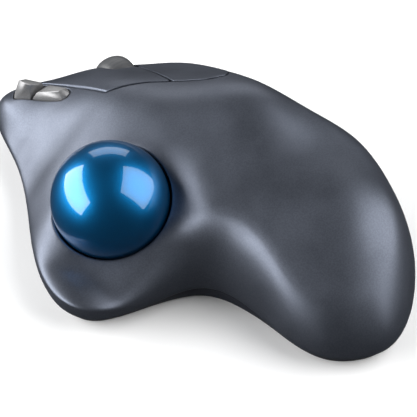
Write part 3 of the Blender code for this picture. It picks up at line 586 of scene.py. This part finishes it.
def add_skirt(plan, outer, inner, faces):
    """The rows below the rim; under the buttons they start at the lip."""
    rim = np.nonzero(plan.rim_gap < ON_RIM)[0]
    rim = rim[np.argsort(plan.rim_along[rim])]
    p, n = rim_frame(plan.rim_along[rim])
    inner[rim] = np.column_stack([p - n * THICK, plan.z[rim]])
    w = widest(*p.T)
    inset = skirt_inset(*p.T)
    rows = [rim]
    base = len(outer)
    new_outer, new_inner = [], []
    for a in skirt_turns(w):
        q = p - n * (inset * (1 - np.cos(a)))[:, None]
        z = w - (w - SEAM_Z) * np.sin(a)
        new_outer.append(np.column_stack([q, z]))
        new_inner.append(np.column_stack([q - n * THICK, z]))
        rows.append(base + np.arange(len(rim)))
        base += len(rim)
    m = len(rim)
    mid = (p + np.roll(p, -1, 0)) / 2
    under = inside(plan.button_edge, *mid.T)
    for k in range(len(rows) - 1):
        for i in range(m):
            if k < len(SKIRT_ABOVE_LIP) and under[i]:
                continue
            j = (i + 1) % m
            faces.append((int(rows[k][j]), int(rows[k][i]), int(rows[k + 1][i]), int(rows[k + 1][j])))
    outer = np.concatenate([outer] + new_outer)
    inner = np.concatenate([inner] + new_inner)
    return solid_mesh(outer, inner, faces)


def button_piece(plan, side):
    x, y = plan.xy.T
    edge = plan.left_edge if side == 'left' else plan.right_edge
    gap = loop_distance(edge, x, y)[0]
    proud = PROUD_EDGE if side == 'left' else EDGE
    radius = EDGE + (proud - EDGE) * (1 - ramp((x - PROUD_X) / PROUD_RUN))
    outer = np.column_stack([plan.xy, plan.z + BUTTON_RISE * ramp(plan.rim_gap / BUTTON_RISE_RUN)])
    inner = outer + skin_directions(plan, gap) * THICK
    rim = plan.rim_gap < ON_RIM
    n = rim_frame(plan.rim_along[rim])[1]
    inner[rim] = outer[rim] - np.column_stack([n, np.zeros(len(n))]) * THICK
    inner[:, 2] = np.maximum(inner[:, 2], BUTTON_FLOOR)
    outer[:, 2] -= round_over(gap, radius)
    faces = [tuple(map(int, t)) for t in plan.tris[plan.region(side)]]
    return solid_mesh(outer, inner, faces)


# ---------------------------------------------------------------- objects
def make_object(name, verts, faces, mat):
    mesh = bpy.data.meshes.new(name)
    mesh.from_pydata([tuple(float(c) * MM for c in v) for v in verts], [], [tuple(f) for f in faces])
    mesh.materials.append(mat)
    ob = bpy.data.objects.new(name, mesh)
    bpy.context.collection.objects.link(ob)
    return ob


def tidy_normals(ob, angle=38.0):
    """Consistent outward faces, smooth shading with sharp edges kept."""
    bm = bmesh.new()
    bm.from_mesh(ob.data)
    bmesh.ops.recalc_face_normals(bm, faces=bm.faces)
    bm.to_mesh(ob.data)
    bm.free()
    ob.data.polygons.foreach_set('use_smooth', [True] * len(ob.data.polygons))
    ob.data.set_sharp_from_angle(angle=math.radians(angle))


def finish_piece(ob, body, node, angle=38.0):
    tidy_normals(ob, angle)
    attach(ob, body)
    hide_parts(node)


def loft(loops):
    """Closed body through equal loops, capped with one face each end."""
    n = len(loops[0])
    verts = [tuple(v) for loop in loops for v in loop]
    faces = []
    for k in range(len(loops) - 1):
        for i in range(n):
            j = (i + 1) % n
            faces.append((k * n + i, k * n + j, (k + 1) * n + j, (k + 1) * n + i))
    faces.append(tuple(range(n))[::-1])
    faces.append(tuple(range((len(loops) - 1) * n, len(loops) * n)))
    return verts, faces


def ring(c, r, z, n):
    angles = [2 * math.pi * i / n for i in range(n)]
    return [(c[0] + r * math.cos(a), c[1] + r * math.sin(a), z) for a in angles]


def stack(c, levels, n):
    """Round body from (radius, z) levels."""
    return loft([ring(c, r, z, n) for r, z in levels])


def box(x0, x1, y0, y1, z0, z1):
    lo = [(x0, y0, z0), (x1, y0, z0), (x1, y1, z0), (x0, y1, z0)]
    return loft([lo, [(x, y, z1) for x, y, _ in lo]])


def join(parts):
    verts, faces = [], []
    for v, f in parts:
        base = len(verts)
        verts += v
        faces += [tuple(i + base for i in face) for face in f]
    return verts, faces


def apply_modifiers(ob):
    dg = bpy.context.evaluated_depsgraph_get()
    mesh = bpy.data.meshes.new_from_object(ob.evaluated_get(dg))
    ob.modifiers.clear()
    ob.data = mesh


def carve(ob, op, parts):
    """Boolean with closed bodies, applied at once."""
    verts, faces = join(parts)
    tool = make_object('tool', verts, faces, ob.data.materials[0])
    bm = bmesh.new()
    bm.from_mesh(tool.data)
    bmesh.ops.recalc_face_normals(bm, faces=bm.faces)
    bm.to_mesh(tool.data)
    bm.free()
    mod = ob.modifiers.new('cut', 'BOOLEAN')
    mod.operation = op
    mod.solver = 'EXACT'
    mod.use_self = len(parts) > 1
    mod.object = tool
    apply_modifiers(ob)
    bpy.data.objects.remove(tool, do_unlink=True)


def soften(ob, width, segments=2, angle=35.0):
    """Small rounded edges on a hard-edged piece."""
    mod = ob.modifiers.new('edges', 'BEVEL')
    mod.width = width * MM
    mod.segments = segments
    mod.limit_method = 'ANGLE'
    mod.angle_limit = math.radians(angle)
    mod.harden_normals = False


# ---------------------------------------------------------------- materials
class Nodes:
    """Short helper for building a procedural Principled material."""

    def __init__(self, name):
        self.mat = bpy.data.materials.new(name)
        self.mat.use_nodes = True
        self.tree = self.mat.node_tree
        self.shader = self.tree.nodes['Principled BSDF']
        coord = self.tree.nodes.new('ShaderNodeTexCoord')
        self.place = coord.outputs['Object']

    def set(self, **values):
        for key, value in values.items():
            self.shader.inputs[key.replace('_', ' ')].default_value = value
        return self

    def noise(self, scale, detail=2.0, rough=0.5, stretch=(1.0, 1.0, 1.0)):
        node = self.tree.nodes.new('ShaderNodeTexNoise')
        node.inputs['Scale'].default_value = scale
        node.inputs['Detail'].default_value = detail
        node.inputs['Roughness'].default_value = rough
        mapping = self.tree.nodes.new('ShaderNodeMapping')
        mapping.inputs['Scale'].default_value = stretch
        self.tree.links.new(self.place, mapping.inputs['Vector'])
        self.tree.links.new(mapping.outputs['Vector'], node.inputs['Vector'])
        return node.outputs['Fac']

    def cells(self, scale):
        node = self.tree.nodes.new('ShaderNodeTexVoronoi')
        node.inputs['Scale'].default_value = scale
        self.tree.links.new(self.place, node.inputs['Vector'])
        return node.outputs['Distance']

    def ramp(self, value, stops):
        node = self.tree.nodes.new('ShaderNodeValToRGB')
        band = node.color_ramp
        while len(band.elements) < len(stops):
            band.elements.new(0.5)
        for element, (place, colour) in zip(band.elements, stops):
            element.position = place
            element.color = (*colour, 1.0)
        self.tree.links.new(value, node.inputs['Fac'])
        return node.outputs['Color']

    def spread(self, value, low, high):
        node = self.tree.nodes.new('ShaderNodeMapRange')
        node.inputs['From Min'].default_value = 0.3
        node.inputs['From Max'].default_value = 0.7
        node.inputs['To Min'].default_value = low
        node.inputs['To Max'].default_value = high
        self.tree.links.new(value, node.inputs['Value'])
        return node.outputs['Result']

    def link(self, value, socket):
        self.tree.links.new(value, self.shader.inputs[socket])
        return self

    def bump(self, value, depth_mm, strength=1.0):
        node = self.tree.nodes.new('ShaderNodeBump')
        node.inputs['Strength'].default_value = strength
        node.inputs['Distance'].default_value = depth_mm * MM
        self.tree.links.new(value, node.inputs['Height'])
        self.tree.links.new(node.outputs['Normal'], self.shader.inputs['Normal'])
        return self


def grained(name, dark, light, rough, metal, grain=3400.0, depth=0.012, strength=0.35, spread=0.04):
    """Moulded plastic: fine grain in height, slight change of tone and gloss."""
    m = Nodes(name).set(Metallic=metal)
    fine = m.noise(grain, 2.0, 0.6)
    m.link(m.ramp(m.noise(grain * 0.7, 1.0), [(0.36, dark), (0.64, light)]), 'Base Color')
    m.link(m.spread(m.noise(90.0, 3.0), rough - spread, rough + spread), 'Roughness')
    m.bump(fine, depth, strength)
    return m.mat


def ball_material():
    m = Nodes('ball_blue_gloss').set(Metallic=0.92, Coat_Weight=1.0, Coat_Roughness=0.035, Coat_IOR=1.5)
    flakes = m.cells(5200.0)
    m.link(m.ramp(flakes, [(0.15, (0.000, 0.135, 0.345)), (0.75, (0.000, 0.115, 0.300))]), 'Base Color')
    m.link(m.spread(m.noise(60.0), 0.36, 0.42), 'Roughness')
    return m.mat


def metal_material(name, dark, light, rough):
    m = Nodes(name).set(Metallic=1.0)
    brushed = m.noise(900.0, 3.0, 0.6, (1.0, 12.0, 12.0))
    m.link(m.ramp(brushed, [(0.3, dark), (0.7, light)]), 'Base Color')
    m.link(m.spread(brushed, rough - 0.06, rough + 0.08), 'Roughness')
    return m.mat


def board_material():
    m = Nodes('board_mask').set(Metallic=0.0, Coat_Weight=0.4, Coat_Roughness=0.2)
    tracks = m.cells(420.0)
    m.link(m.ramp(tracks, [(0.18, (0.010, 0.060, 0.030)), (0.3, (0.020, 0.110, 0.055))]), 'Base Color')
    m.link(m.spread(m.noise(200.0), 0.35, 0.5), 'Roughness')
    m.bump(tracks, 0.02, 0.3)
    return m.mat


def lens_material():
    m = Nodes('lens_clear').set(Transmission_Weight=0.9, IOR=1.49)
    m.link(m.ramp(m.noise(120.0), [(0.3, (0.80, 0.84, 0.88)), (0.7, (0.88, 0.91, 0.94))]), 'Base Color')
    m.link(m.spread(m.noise(300.0), 0.03, 0.08), 'Roughness')
    return m.mat


def cell_material():
    """Plain two-tone sleeve, split along its length."""
    m = Nodes('cell_sleeve').set(Metallic=0.35, Coat_Weight=0.5, Coat_Roughness=0.12)
    split = m.tree.nodes.new('ShaderNodeSeparateXYZ')
    m.tree.links.new(m.place, split.inputs['Vector'])
    band = m.tree.nodes.new('ShaderNodeMapRange')
    lo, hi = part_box('battery_cell')
    band.inputs['From Min'].default_value = lo[1]
    band.inputs['From Max'].default_value = hi[1]
    m.tree.links.new(split.outputs['Y'], band.inputs['Value'])
    stops = [(0.0, (0.55, 0.55, 0.53)), (0.03, (0.05, 0.055, 0.06)), (0.74, (0.06, 0.065, 0.07)),
             (0.75, (0.42, 0.24, 0.09)), (0.965, (0.42, 0.24, 0.09)), (0.975, (0.60, 0.60, 0.57))]
    m.link(m.ramp(band.outputs['Result'], stops), 'Base Color')
    m.link(m.spread(m.noise(150.0), 0.22, 0.32), 'Roughness')
    return m.mat


def make_materials():
    return {
        'shell_slate': grained('shell_slate_satin', (0.088, 0.098, 0.124), (0.104, 0.116, 0.144),
                               0.44, 0.85),
        'key_grey': grained('key_grey_gloss', (0.20, 0.20, 0.205), (0.23, 0.23, 0.235), 0.38, 0.45,
                            depth=0.004),
        'base_dark': grained('base_dark_matte', (0.012, 0.014, 0.020), (0.016, 0.018, 0.025), 0.42, 0.0),
        'ball_blue': ball_material(),
        'wheel_rubber': grained('wheel_rubber_satin', (0.050, 0.052, 0.056), (0.060, 0.062, 0.066),
                                0.46, 0.0, depth=0.02),
        'hub_grey': grained('hub_grey_satin', (0.17, 0.18, 0.20), (0.20, 0.21, 0.23), 0.4, 0.1),
        'plunger_white': grained('light_grey_moulding', (0.33, 0.34, 0.36), (0.37, 0.38, 0.40), 0.42, 0.0),
        'switch_dark': grained('switch_housing', (0.025, 0.025, 0.030), (0.035, 0.035, 0.040), 0.5, 0.0),
        'foot_slick': grained('foot_slick_pad', (0.040, 0.042, 0.047), (0.050, 0.052, 0.057), 0.3, 0.0,
                              depth=0.006),
        'bearing_ceramic': grained('bearing_polish', (0.55, 0.56, 0.58), (0.60, 0.61, 0.63), 0.12, 0.0,
                                   depth=0.002),
        'spring_steel': metal_material('bright_steel', (0.52, 0.50, 0.47), (0.68, 0.66, 0.62), 0.24),
        'board_green': board_material(),
        'lens_clear': lens_material(),
        'cell_wrap': cell_material(),
    }


# ---------------------------------------------------------------- outer pieces
def in_wheel(data):
    return [tuple(WF @ Vector(v)) for v in data[0]], data[1]


def wheel_room():
    """Space round the wheel that lets it tilt down."""
    half, r, turns = WHEEL_W / 2 + WHEEL_SIDE_ROOM, WHEEL_R + WHEEL_TREAD_ROOM, 96
    angles = [2 * math.pi * k / turns for k in range(turns)]
    return in_wheel(loft([[(x, r * math.cos(a), r * math.sin(a)) for a in angles] for x in (-half, half)]))


def arm_room():
    """Space beside the wheel that lets the right button pass the arm of the carrier."""
    return in_wheel(box(*ARM_ROOM))


def make_skins(mats):
    plan = Plan()
    slate = mats['shell_slate']
    shell = make_object('shell_skin', *shell_piece(plan), slate)
    carve(shell, 'DIFFERENCE', [wheel_room()])
    finish_piece(shell, 'housing', 'top_shell')
    for side in ('left', 'right'):
        ob = make_object(side + '_button_skin', *button_piece(plan, side), slate)
        carve(ob, 'DIFFERENCE', [wheel_room()])
        if side == 'right':
            carve(ob, 'DIFFERENCE', [arm_room()])
        finish_piece(ob, side + '_button', side + '_button')


def make_ball(mats):
    """Ball from a cube whose faces are divided evenly and pushed out to the sphere."""
    bm = bmesh.new()
    bmesh.ops.create_cube(bm, size=2.0)
    bmesh.ops.subdivide_edges(bm, edges=bm.edges, cuts=31, use_grid_fill=True)
    for v in bm.verts:
        even = Vector([math.tan(c * math.pi / 4) for c in v.co])
        v.co = even.normalized() * BALL_R * MM + Vector(BALL_C) * MM
    mesh = bpy.data.meshes.new('ball_sphere')
    bm.to_mesh(mesh)
    bm.free()
    mesh.materials.append(mats['ball_blue'])
    ob = bpy.data.objects.new('ball_sphere', mesh)
    bpy.context.collection.objects.link(ob)
    finish_piece(ob, 'trackball', 'trackball')


def make_tyre(mats):
    """Rubber tyre with a crowned tread and shallow grooves across it."""
    turns, grooves, across = 288, 36, 16
    half = WHEEL_W / 2
    seat, bead, bevel = HUB_R + 0.05, HUB_R + 0.25, 0.2
    profile = [(seat, -half + bevel), (bead, -half)]
    for k in range(across + 1):
        a = math.pi * k / across
        profile.append((WHEEL_R - WHEEL_CROWN * (1 - math.sin(a)), -math.cos(a) * half))
    profile += [(bead, half), (seat, half - bevel)]
    m = len(profile)
    verts, faces = [], []
    for i in range(turns):
        a = 2 * math.pi * i / turns
        dip = GROOVE_DEPTH * (0.5 + 0.5 * math.cos(grooves * a)) ** 6
        for r, x in profile:
            deep = dip if r > WHEEL_R - TREAD_DROP else 0.0
            verts.append(WF @ Vector((x, (r - deep) * math.cos(a), (r - deep) * math.sin(a))))
        for k in range(m):
            j, l = (i + 1) % turns, (k + 1) % m
            faces.append((i * m + k, i * m + l, j * m + l, j * m + k))
    ob = make_object('wheel_rubber_tyre', verts, faces, mats['wheel_rubber'])
    finish_piece(ob, 'wheel', 'wheel_tyre')


def key_outline(side):
    """Pocket outline cut in two by the line between the keys, pulled in by the working gap."""
    a, b = np.array(KEY_SPLIT[0]), np.array(KEY_SPLIT[1])
    d = b - a
    offset = [d[0] * (p[1] - a[1]) - d[1] * (p[0] - a[0]) for p in POCKET]
    keep = []
    n = len(POCKET)
    for i in range(n):
        p, q = np.array(POCKET[i]), np.array(POCKET[(i + 1) % n])
        s, t = offset[i] * side, offset[(i + 1) % n] * side
        if s >= 0:
            keep.append(tuple(p))
        if s * t < 0:
            cut = p + (q - p) * s / (s - t)
            keep.append((cut[0], cut[1], KEY_SPLIT_CORNER))
    return rounded(shift_edges(keep, -GAP), 0.4)


def make_key(name, side, top, mats):
    """Key with flat faces between its outline in the pocket and the corners of its top."""
    loop = key_outline(side)
    belt = skin_height(*loop.T)
    low = float(belt.min()) - KEY_SINK
    bm = bmesh.new()
    for (x, y), z in zip(loop, belt):
        bm.verts.new(Vector((x, y, low)) * MM)
        bm.verts.new(Vector((x, y, z - 0.1)) * MM)
    for p in top:
        bm.verts.new(Vector(p) * MM)
    hull = bmesh.ops.convex_hull(bm, input=bm.verts)
    left_over = set(hull['geom_interior'] + hull['geom_unused'])
    spare = [v for v in left_over if isinstance(v, bmesh.types.BMVert)]
    bmesh.ops.delete(bm, geom=spare, context='VERTS')
    bmesh.ops.dissolve_limit(bm, angle_limit=math.radians(4), verts=bm.verts, edges=bm.edges)
    bmesh.ops.recalc_face_normals(bm, faces=bm.faces)
    mesh = bpy.data.meshes.new(name)
    bm.to_mesh(mesh)
    bm.free()
    mesh.materials.append(mats['key_grey'])
    ob = bpy.data.objects.new(name, mesh)
    bpy.context.collection.objects.link(ob)
    soften(ob, KEY_BEVEL, 3, 20.0)
    apply_modifiers(ob)
    return ob


def make_keys(mats):
    back = make_key('back_key_cap', -1, BACK_TOP, mats)
    finish_piece(back, 'back_key', 'back_key', 30.0)
    forward = make_key('forward_key_cap', 1, FORWARD_TOP, mats)
    finish_piece(forward, 'forward_key', 'forward_key', 30.0)


# ---------------------------------------------------------------- base
EJECT_R = 5.0
# rounded bottom edge of the case: in from its side, up from its floor
CASE_ROUND = ((0.9, 0), (0.45, 0.06), (0.15, 0.25))
# heights of the case's side: end of the bottom edge, of the rounded foot, of the straight lean
FOOT_EDGE, FOOT_RISE, SIDE_Z = 0.6, 1.6, 3.2
# head and shank of a case screw, and the depth of the head
SCREW_HEAD_R, SCREW_SHANK_R, SCREW_SHELF = 2.3, 1.25, 2.0
# walls of the battery bay: thickness at the sides and ends, gaps and height of the side walls,
# then half width and height of each end wall
BAY_SIDE, BAY_END = 1.8, 1.2
BAY_LEFT_GAP, BAY_RIGHT_GAP, BAY_END_GAP, BAY_SIDE_Z = 2.2, 0.4, 6, 9.0
BAY_REAR_WALL, BAY_FRONT_WALL = (5.5, 12.4), (6.5, 16.4)
# lowest and highest level of a cut through the floor
CUT_Z0, CUT_Z1 = -2, 5
# room for the power slider behind it and ahead of it, where it travels
SLIDER_BEHIND, SLIDER_AHEAD = 2.0, 4.4


def case_loops():
    """Section of the case all round: rounded bottom edge, leaning side, top edge, inner wall."""
    perimeter = np.linalg.norm(np.roll(RIM, -1, 0) - RIM, axis=1).sum()
    p, n = rim_frame(np.arange(CASE_TURNS) / CASE_TURNS * perimeter)
    ins, low = skirt_inset(*p.T), base_inset(*p.T)
    mid = (ins + low) / 2

    def loop(inset, z):
        q = p - n * inset[:, None]
        return [(a, b, z) for a, b in q]
    loops = [loop(low + inset, FLOOR_Z0 + rise) for inset, rise in CASE_ROUND]
    loops.append(loop(low, FLOOR_Z0 + FOOT_EDGE))
    for k in (1, 2, 3):
        loops.append(loop(low + (mid - low) * k / 3, FLOOR_Z0 + FOOT_EDGE + FOOT_RISE * k / 3))
    for k in (1, 2, 3, 4):
        loops.append(loop(mid + (ins + 0.12 - mid) * k / 4, SIDE_Z + (CASE_TOP - 0.15 - SIDE_Z) * k / 4))
    loops += [loop(ins + 0.3, CASE_TOP), loop(ins + 2.0, CASE_TOP), loop(mid + 2.2, FLOOR_Z1)]
    return loops


def node_box(name):
    """Lowest and highest corner of a node in millimetres."""
    return (np.array(c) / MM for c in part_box(name))


def make_case(mats):
    ob = make_object('case_base', *loft(case_loops()), mats['base_dark'])
    door_lo, door_hi = node_box('battery_door')
    bay = (door_lo[0] - GAP, door_hi[0] + GAP, door_lo[1] - GAP, door_hi[1] + GAP)
    carve(ob, 'UNION', bay_walls(bay))
    eject = stack(BALL_C, [(EJECT_R, CUT_Z0), (EJECT_R, CUT_Z1)], 64)
    cuts = [wheel_room(), box(*bay, CUT_Z0, FLOOR_Z1 + 1.0), eject]
    for k in range(1, 5):
        lo, hi = node_box('case_screw_%d' % k)
        c = (lo + hi) / 2
        cuts.append(stack(c, [(SCREW_HEAD_R, CUT_Z0), (SCREW_HEAD_R, SCREW_SHELF),
                              (SCREW_SHANK_R, SCREW_SHELF), (SCREW_SHANK_R, CUT_Z1)], 48))
    lo, hi = node_box('power_slider')
    cuts.append(box(lo[0] - GAP, hi[0] + GAP, lo[1] - SLIDER_BEHIND, hi[1] + SLIDER_AHEAD, CUT_Z0, CUT_Z1))
    carve(ob, 'DIFFERENCE', cuts)
    soften(ob, 0.18, 2, 50.0)
    apply_modifiers(ob)
    finish_piece(ob, 'housing', 'bottom_case', 32.0)


def bay_walls(bay):
    """Low walls beside the cell and one behind each contact."""
    x0, x1, y0, y1 = bay
    z0, middle = FLOOR_Z1 - 0.5, (x0 + x1) / 2
    walls = []
    for x in (x0 - BAY_LEFT_GAP, x1 + BAY_RIGHT_GAP):
        walls.append(box(x, x + BAY_SIDE, y0 + BAY_END_GAP, y1 - BAY_END_GAP, z0, BAY_SIDE_Z))
    for y, (half, top) in ((y0 - BAY_END, BAY_REAR_WALL), (y1, BAY_FRONT_WALL)):
        walls.append(box(middle - half, middle + half, y, y + BAY_END, z0, top))
    return walls


# rounded lower edge of a foot: in from its side, up from its face
FOOT_ROUND = ((0.5, 0), (0.22, 0.05), (0.06, 0.18), (0, 0.4))


def make_feet(mats):
    for k in range(1, 6):
        name = 'foot_%d' % k
        lo, hi = node_box(name)
        c, r = (lo + hi) / 2, (hi - lo)[0] / 2
        levels = [(r - inset, lo[2] + rise) for inset, rise in FOOT_ROUND] + [(r, hi[2])]
        ob = make_object('foot_pad_%d' % k, *stack(c, levels, 96), mats['foot_slick'])
        finish_piece(ob, 'housing', name, 30.0)


# ---------------------------------------------------------------- pieces kept from the frame
NODE_FINISH = {
    'ball_cup': 'base_dark', 'sensor_lens': 'lens_clear',
    'sensor_board': 'board_green', 'main_board': 'board_green',
    'wheel_hub': 'hub_grey', 'wheel_carrier': 'base_dark', 'wheel_encoder': 'switch_dark',
    'battery_cell': 'cell_wrap', 'battery_spring': 'spring_steel', 'battery_contact': 'spring_steel',
    'battery_door': 'base_dark', 'door_latch': 'plunger_white', 'power_slider': 'plunger_white',
    'power_switch': 'switch_dark'}
for side in ('left', 'right', 'middle'):
    NODE_FINISH[side + '_switch'] = 'switch_dark'
    NODE_FINISH[side + '_switch_plunger'] = 'plunger_white'
for which in ('back', 'forward'):
    NODE_FINISH[which + '_key_switch'] = 'switch_dark'
for k in range(1, 4):
    NODE_FINISH['ball_bearing_%d' % k] = 'bearing_ceramic'
for k in range(1, 5):
    NODE_FINISH['case_screw_%d' % k] = 'spring_steel'
SOFT_EDGES = {'battery_door': 0.25, 'door_latch': 0.2, 'power_slider': 0.2, 'wheel_hub': 0.15,
              'battery_contact': 0.1, 'power_switch': 0.15, 'main_board': 0.1}


def dress_nodes(mats):
    for name, finish in NODE_FINISH.items():
        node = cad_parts[name]
        node.data.materials.clear()
        node.data.materials.append(mats[finish])
        if name in SOFT_EDGES:
            soften(node, SOFT_EDGES[name])


# ---------------------------------------------------------------- studio
AZIMUTH, ELEVATION = -43.0, 47.0
DISTANCE = 600.0
LENS = 183.2
# where the ball's centre sits off the middle of the view, as slopes right and up of the view axis
AIM_RIGHT, AIM_UP = 0.0463, -0.0040
FLOOR_HALF, FLOOR_DEEP = 3000, 0.6
# soft boxes: direction, distance, width and height in metres, power in watts
SOFT_BOXES = {'soft_box_left': ((-0.70, 0.66, 0.36), 0.85, 1.35, 0.60, 20.0),
              'soft_box_right': ((0.58, -0.56, 0.63), 0.90, 1.05, 1.10, 14.0),
              'soft_box_back': ((0.60, 0.70, 0.40), 1.20, 0.90, 0.50, 3.0)}


def view_axes():
    a, e = math.radians(AZIMUTH), math.radians(ELEVATION)
    back = Vector((math.sin(a) * math.cos(e), -math.cos(a) * math.cos(e), math.sin(e)))
    right = Vector((math.cos(a), math.sin(a), 0))
    return back, right, back.cross(right)


def make_camera():
    back, right, up = view_axes()
    ahead = (-back + right * AIM_RIGHT + up * AIM_UP).normalized()
    side = (right - ahead * right.dot(ahead)).normalized()
    top = side.cross(ahead)
    data = bpy.data.cameras.new('camera')
    data.lens = LENS
    data.sensor_width = 36.0
    data.clip_start, data.clip_end = 0.05, 20.0
    cam = bpy.data.objects.new('camera', data)
    cam.matrix_world = Matrix.Translation((Vector(BALL_C) + back * DISTANCE) * MM) @ Matrix(
        (side, top, -ahead)).transposed().to_4x4()
    bpy.context.collection.objects.link(cam)
    bpy.context.scene.camera = cam


def area_light(name, toward, distance, width, height, power):
    """Soft box in a direction from the middle of the object, facing it."""
    data = bpy.data.lights.new(name, 'AREA')
    data.shape = 'RECTANGLE'
    data.size, data.size_y = width, height
    data.energy = power
    ob = bpy.data.objects.new(name, data)
    d = Vector(toward).normalized()
    ob.location = Vector((0, 0, 0.02)) + d * distance
    ob.rotation_mode = 'QUATERNION'
    ob.rotation_quaternion = d.to_track_quat('Z', 'Y')
    bpy.context.collection.objects.link(ob)


def make_floor():
    """Pale floor, kept out of glossy reflections as a dark card would in a studio."""
    m = Nodes('floor_pale').set(Metallic=0.0)
    m.link(m.ramp(m.noise(3.0), [(0.3, (0.94, 0.94, 0.94)), (0.7, (0.96, 0.96, 0.96))]), 'Base Color')
    m.link(m.spread(m.noise(8.0), 0.85, 0.95), 'Roughness')
    slab = box(-FLOOR_HALF, FLOOR_HALF, -FLOOR_HALF, FLOOR_HALF, -FLOOR_DEEP, 0.0)
    floor = make_object('floor', *slab, m.mat)
    floor.visible_glossy = False


def make_studio():
    make_camera()
    make_floor()
    for name, values in SOFT_BOXES.items():
        area_light(name, *values)
    world = bpy.data.worlds.new('studio')
    world.use_nodes = True
    world.node_tree.nodes['Background'].inputs['Color'].default_value = (0.9, 0.95, 1.0, 1.0)
    world.node_tree.nodes['Background'].inputs['Strength'].default_value = 0.05
    bpy.context.scene.world = world
    bpy.context.scene.view_settings.view_transform = 'Standard'


# ---------------------------------------------------------------- build
def main():
    mats = make_materials()
    make_skins(mats)
    make_ball(mats)
    make_tyre(mats)
    make_keys(mats)
    make_case(mats)
    make_feet(mats)
    dress_nodes(mats)
    make_studio()


main()
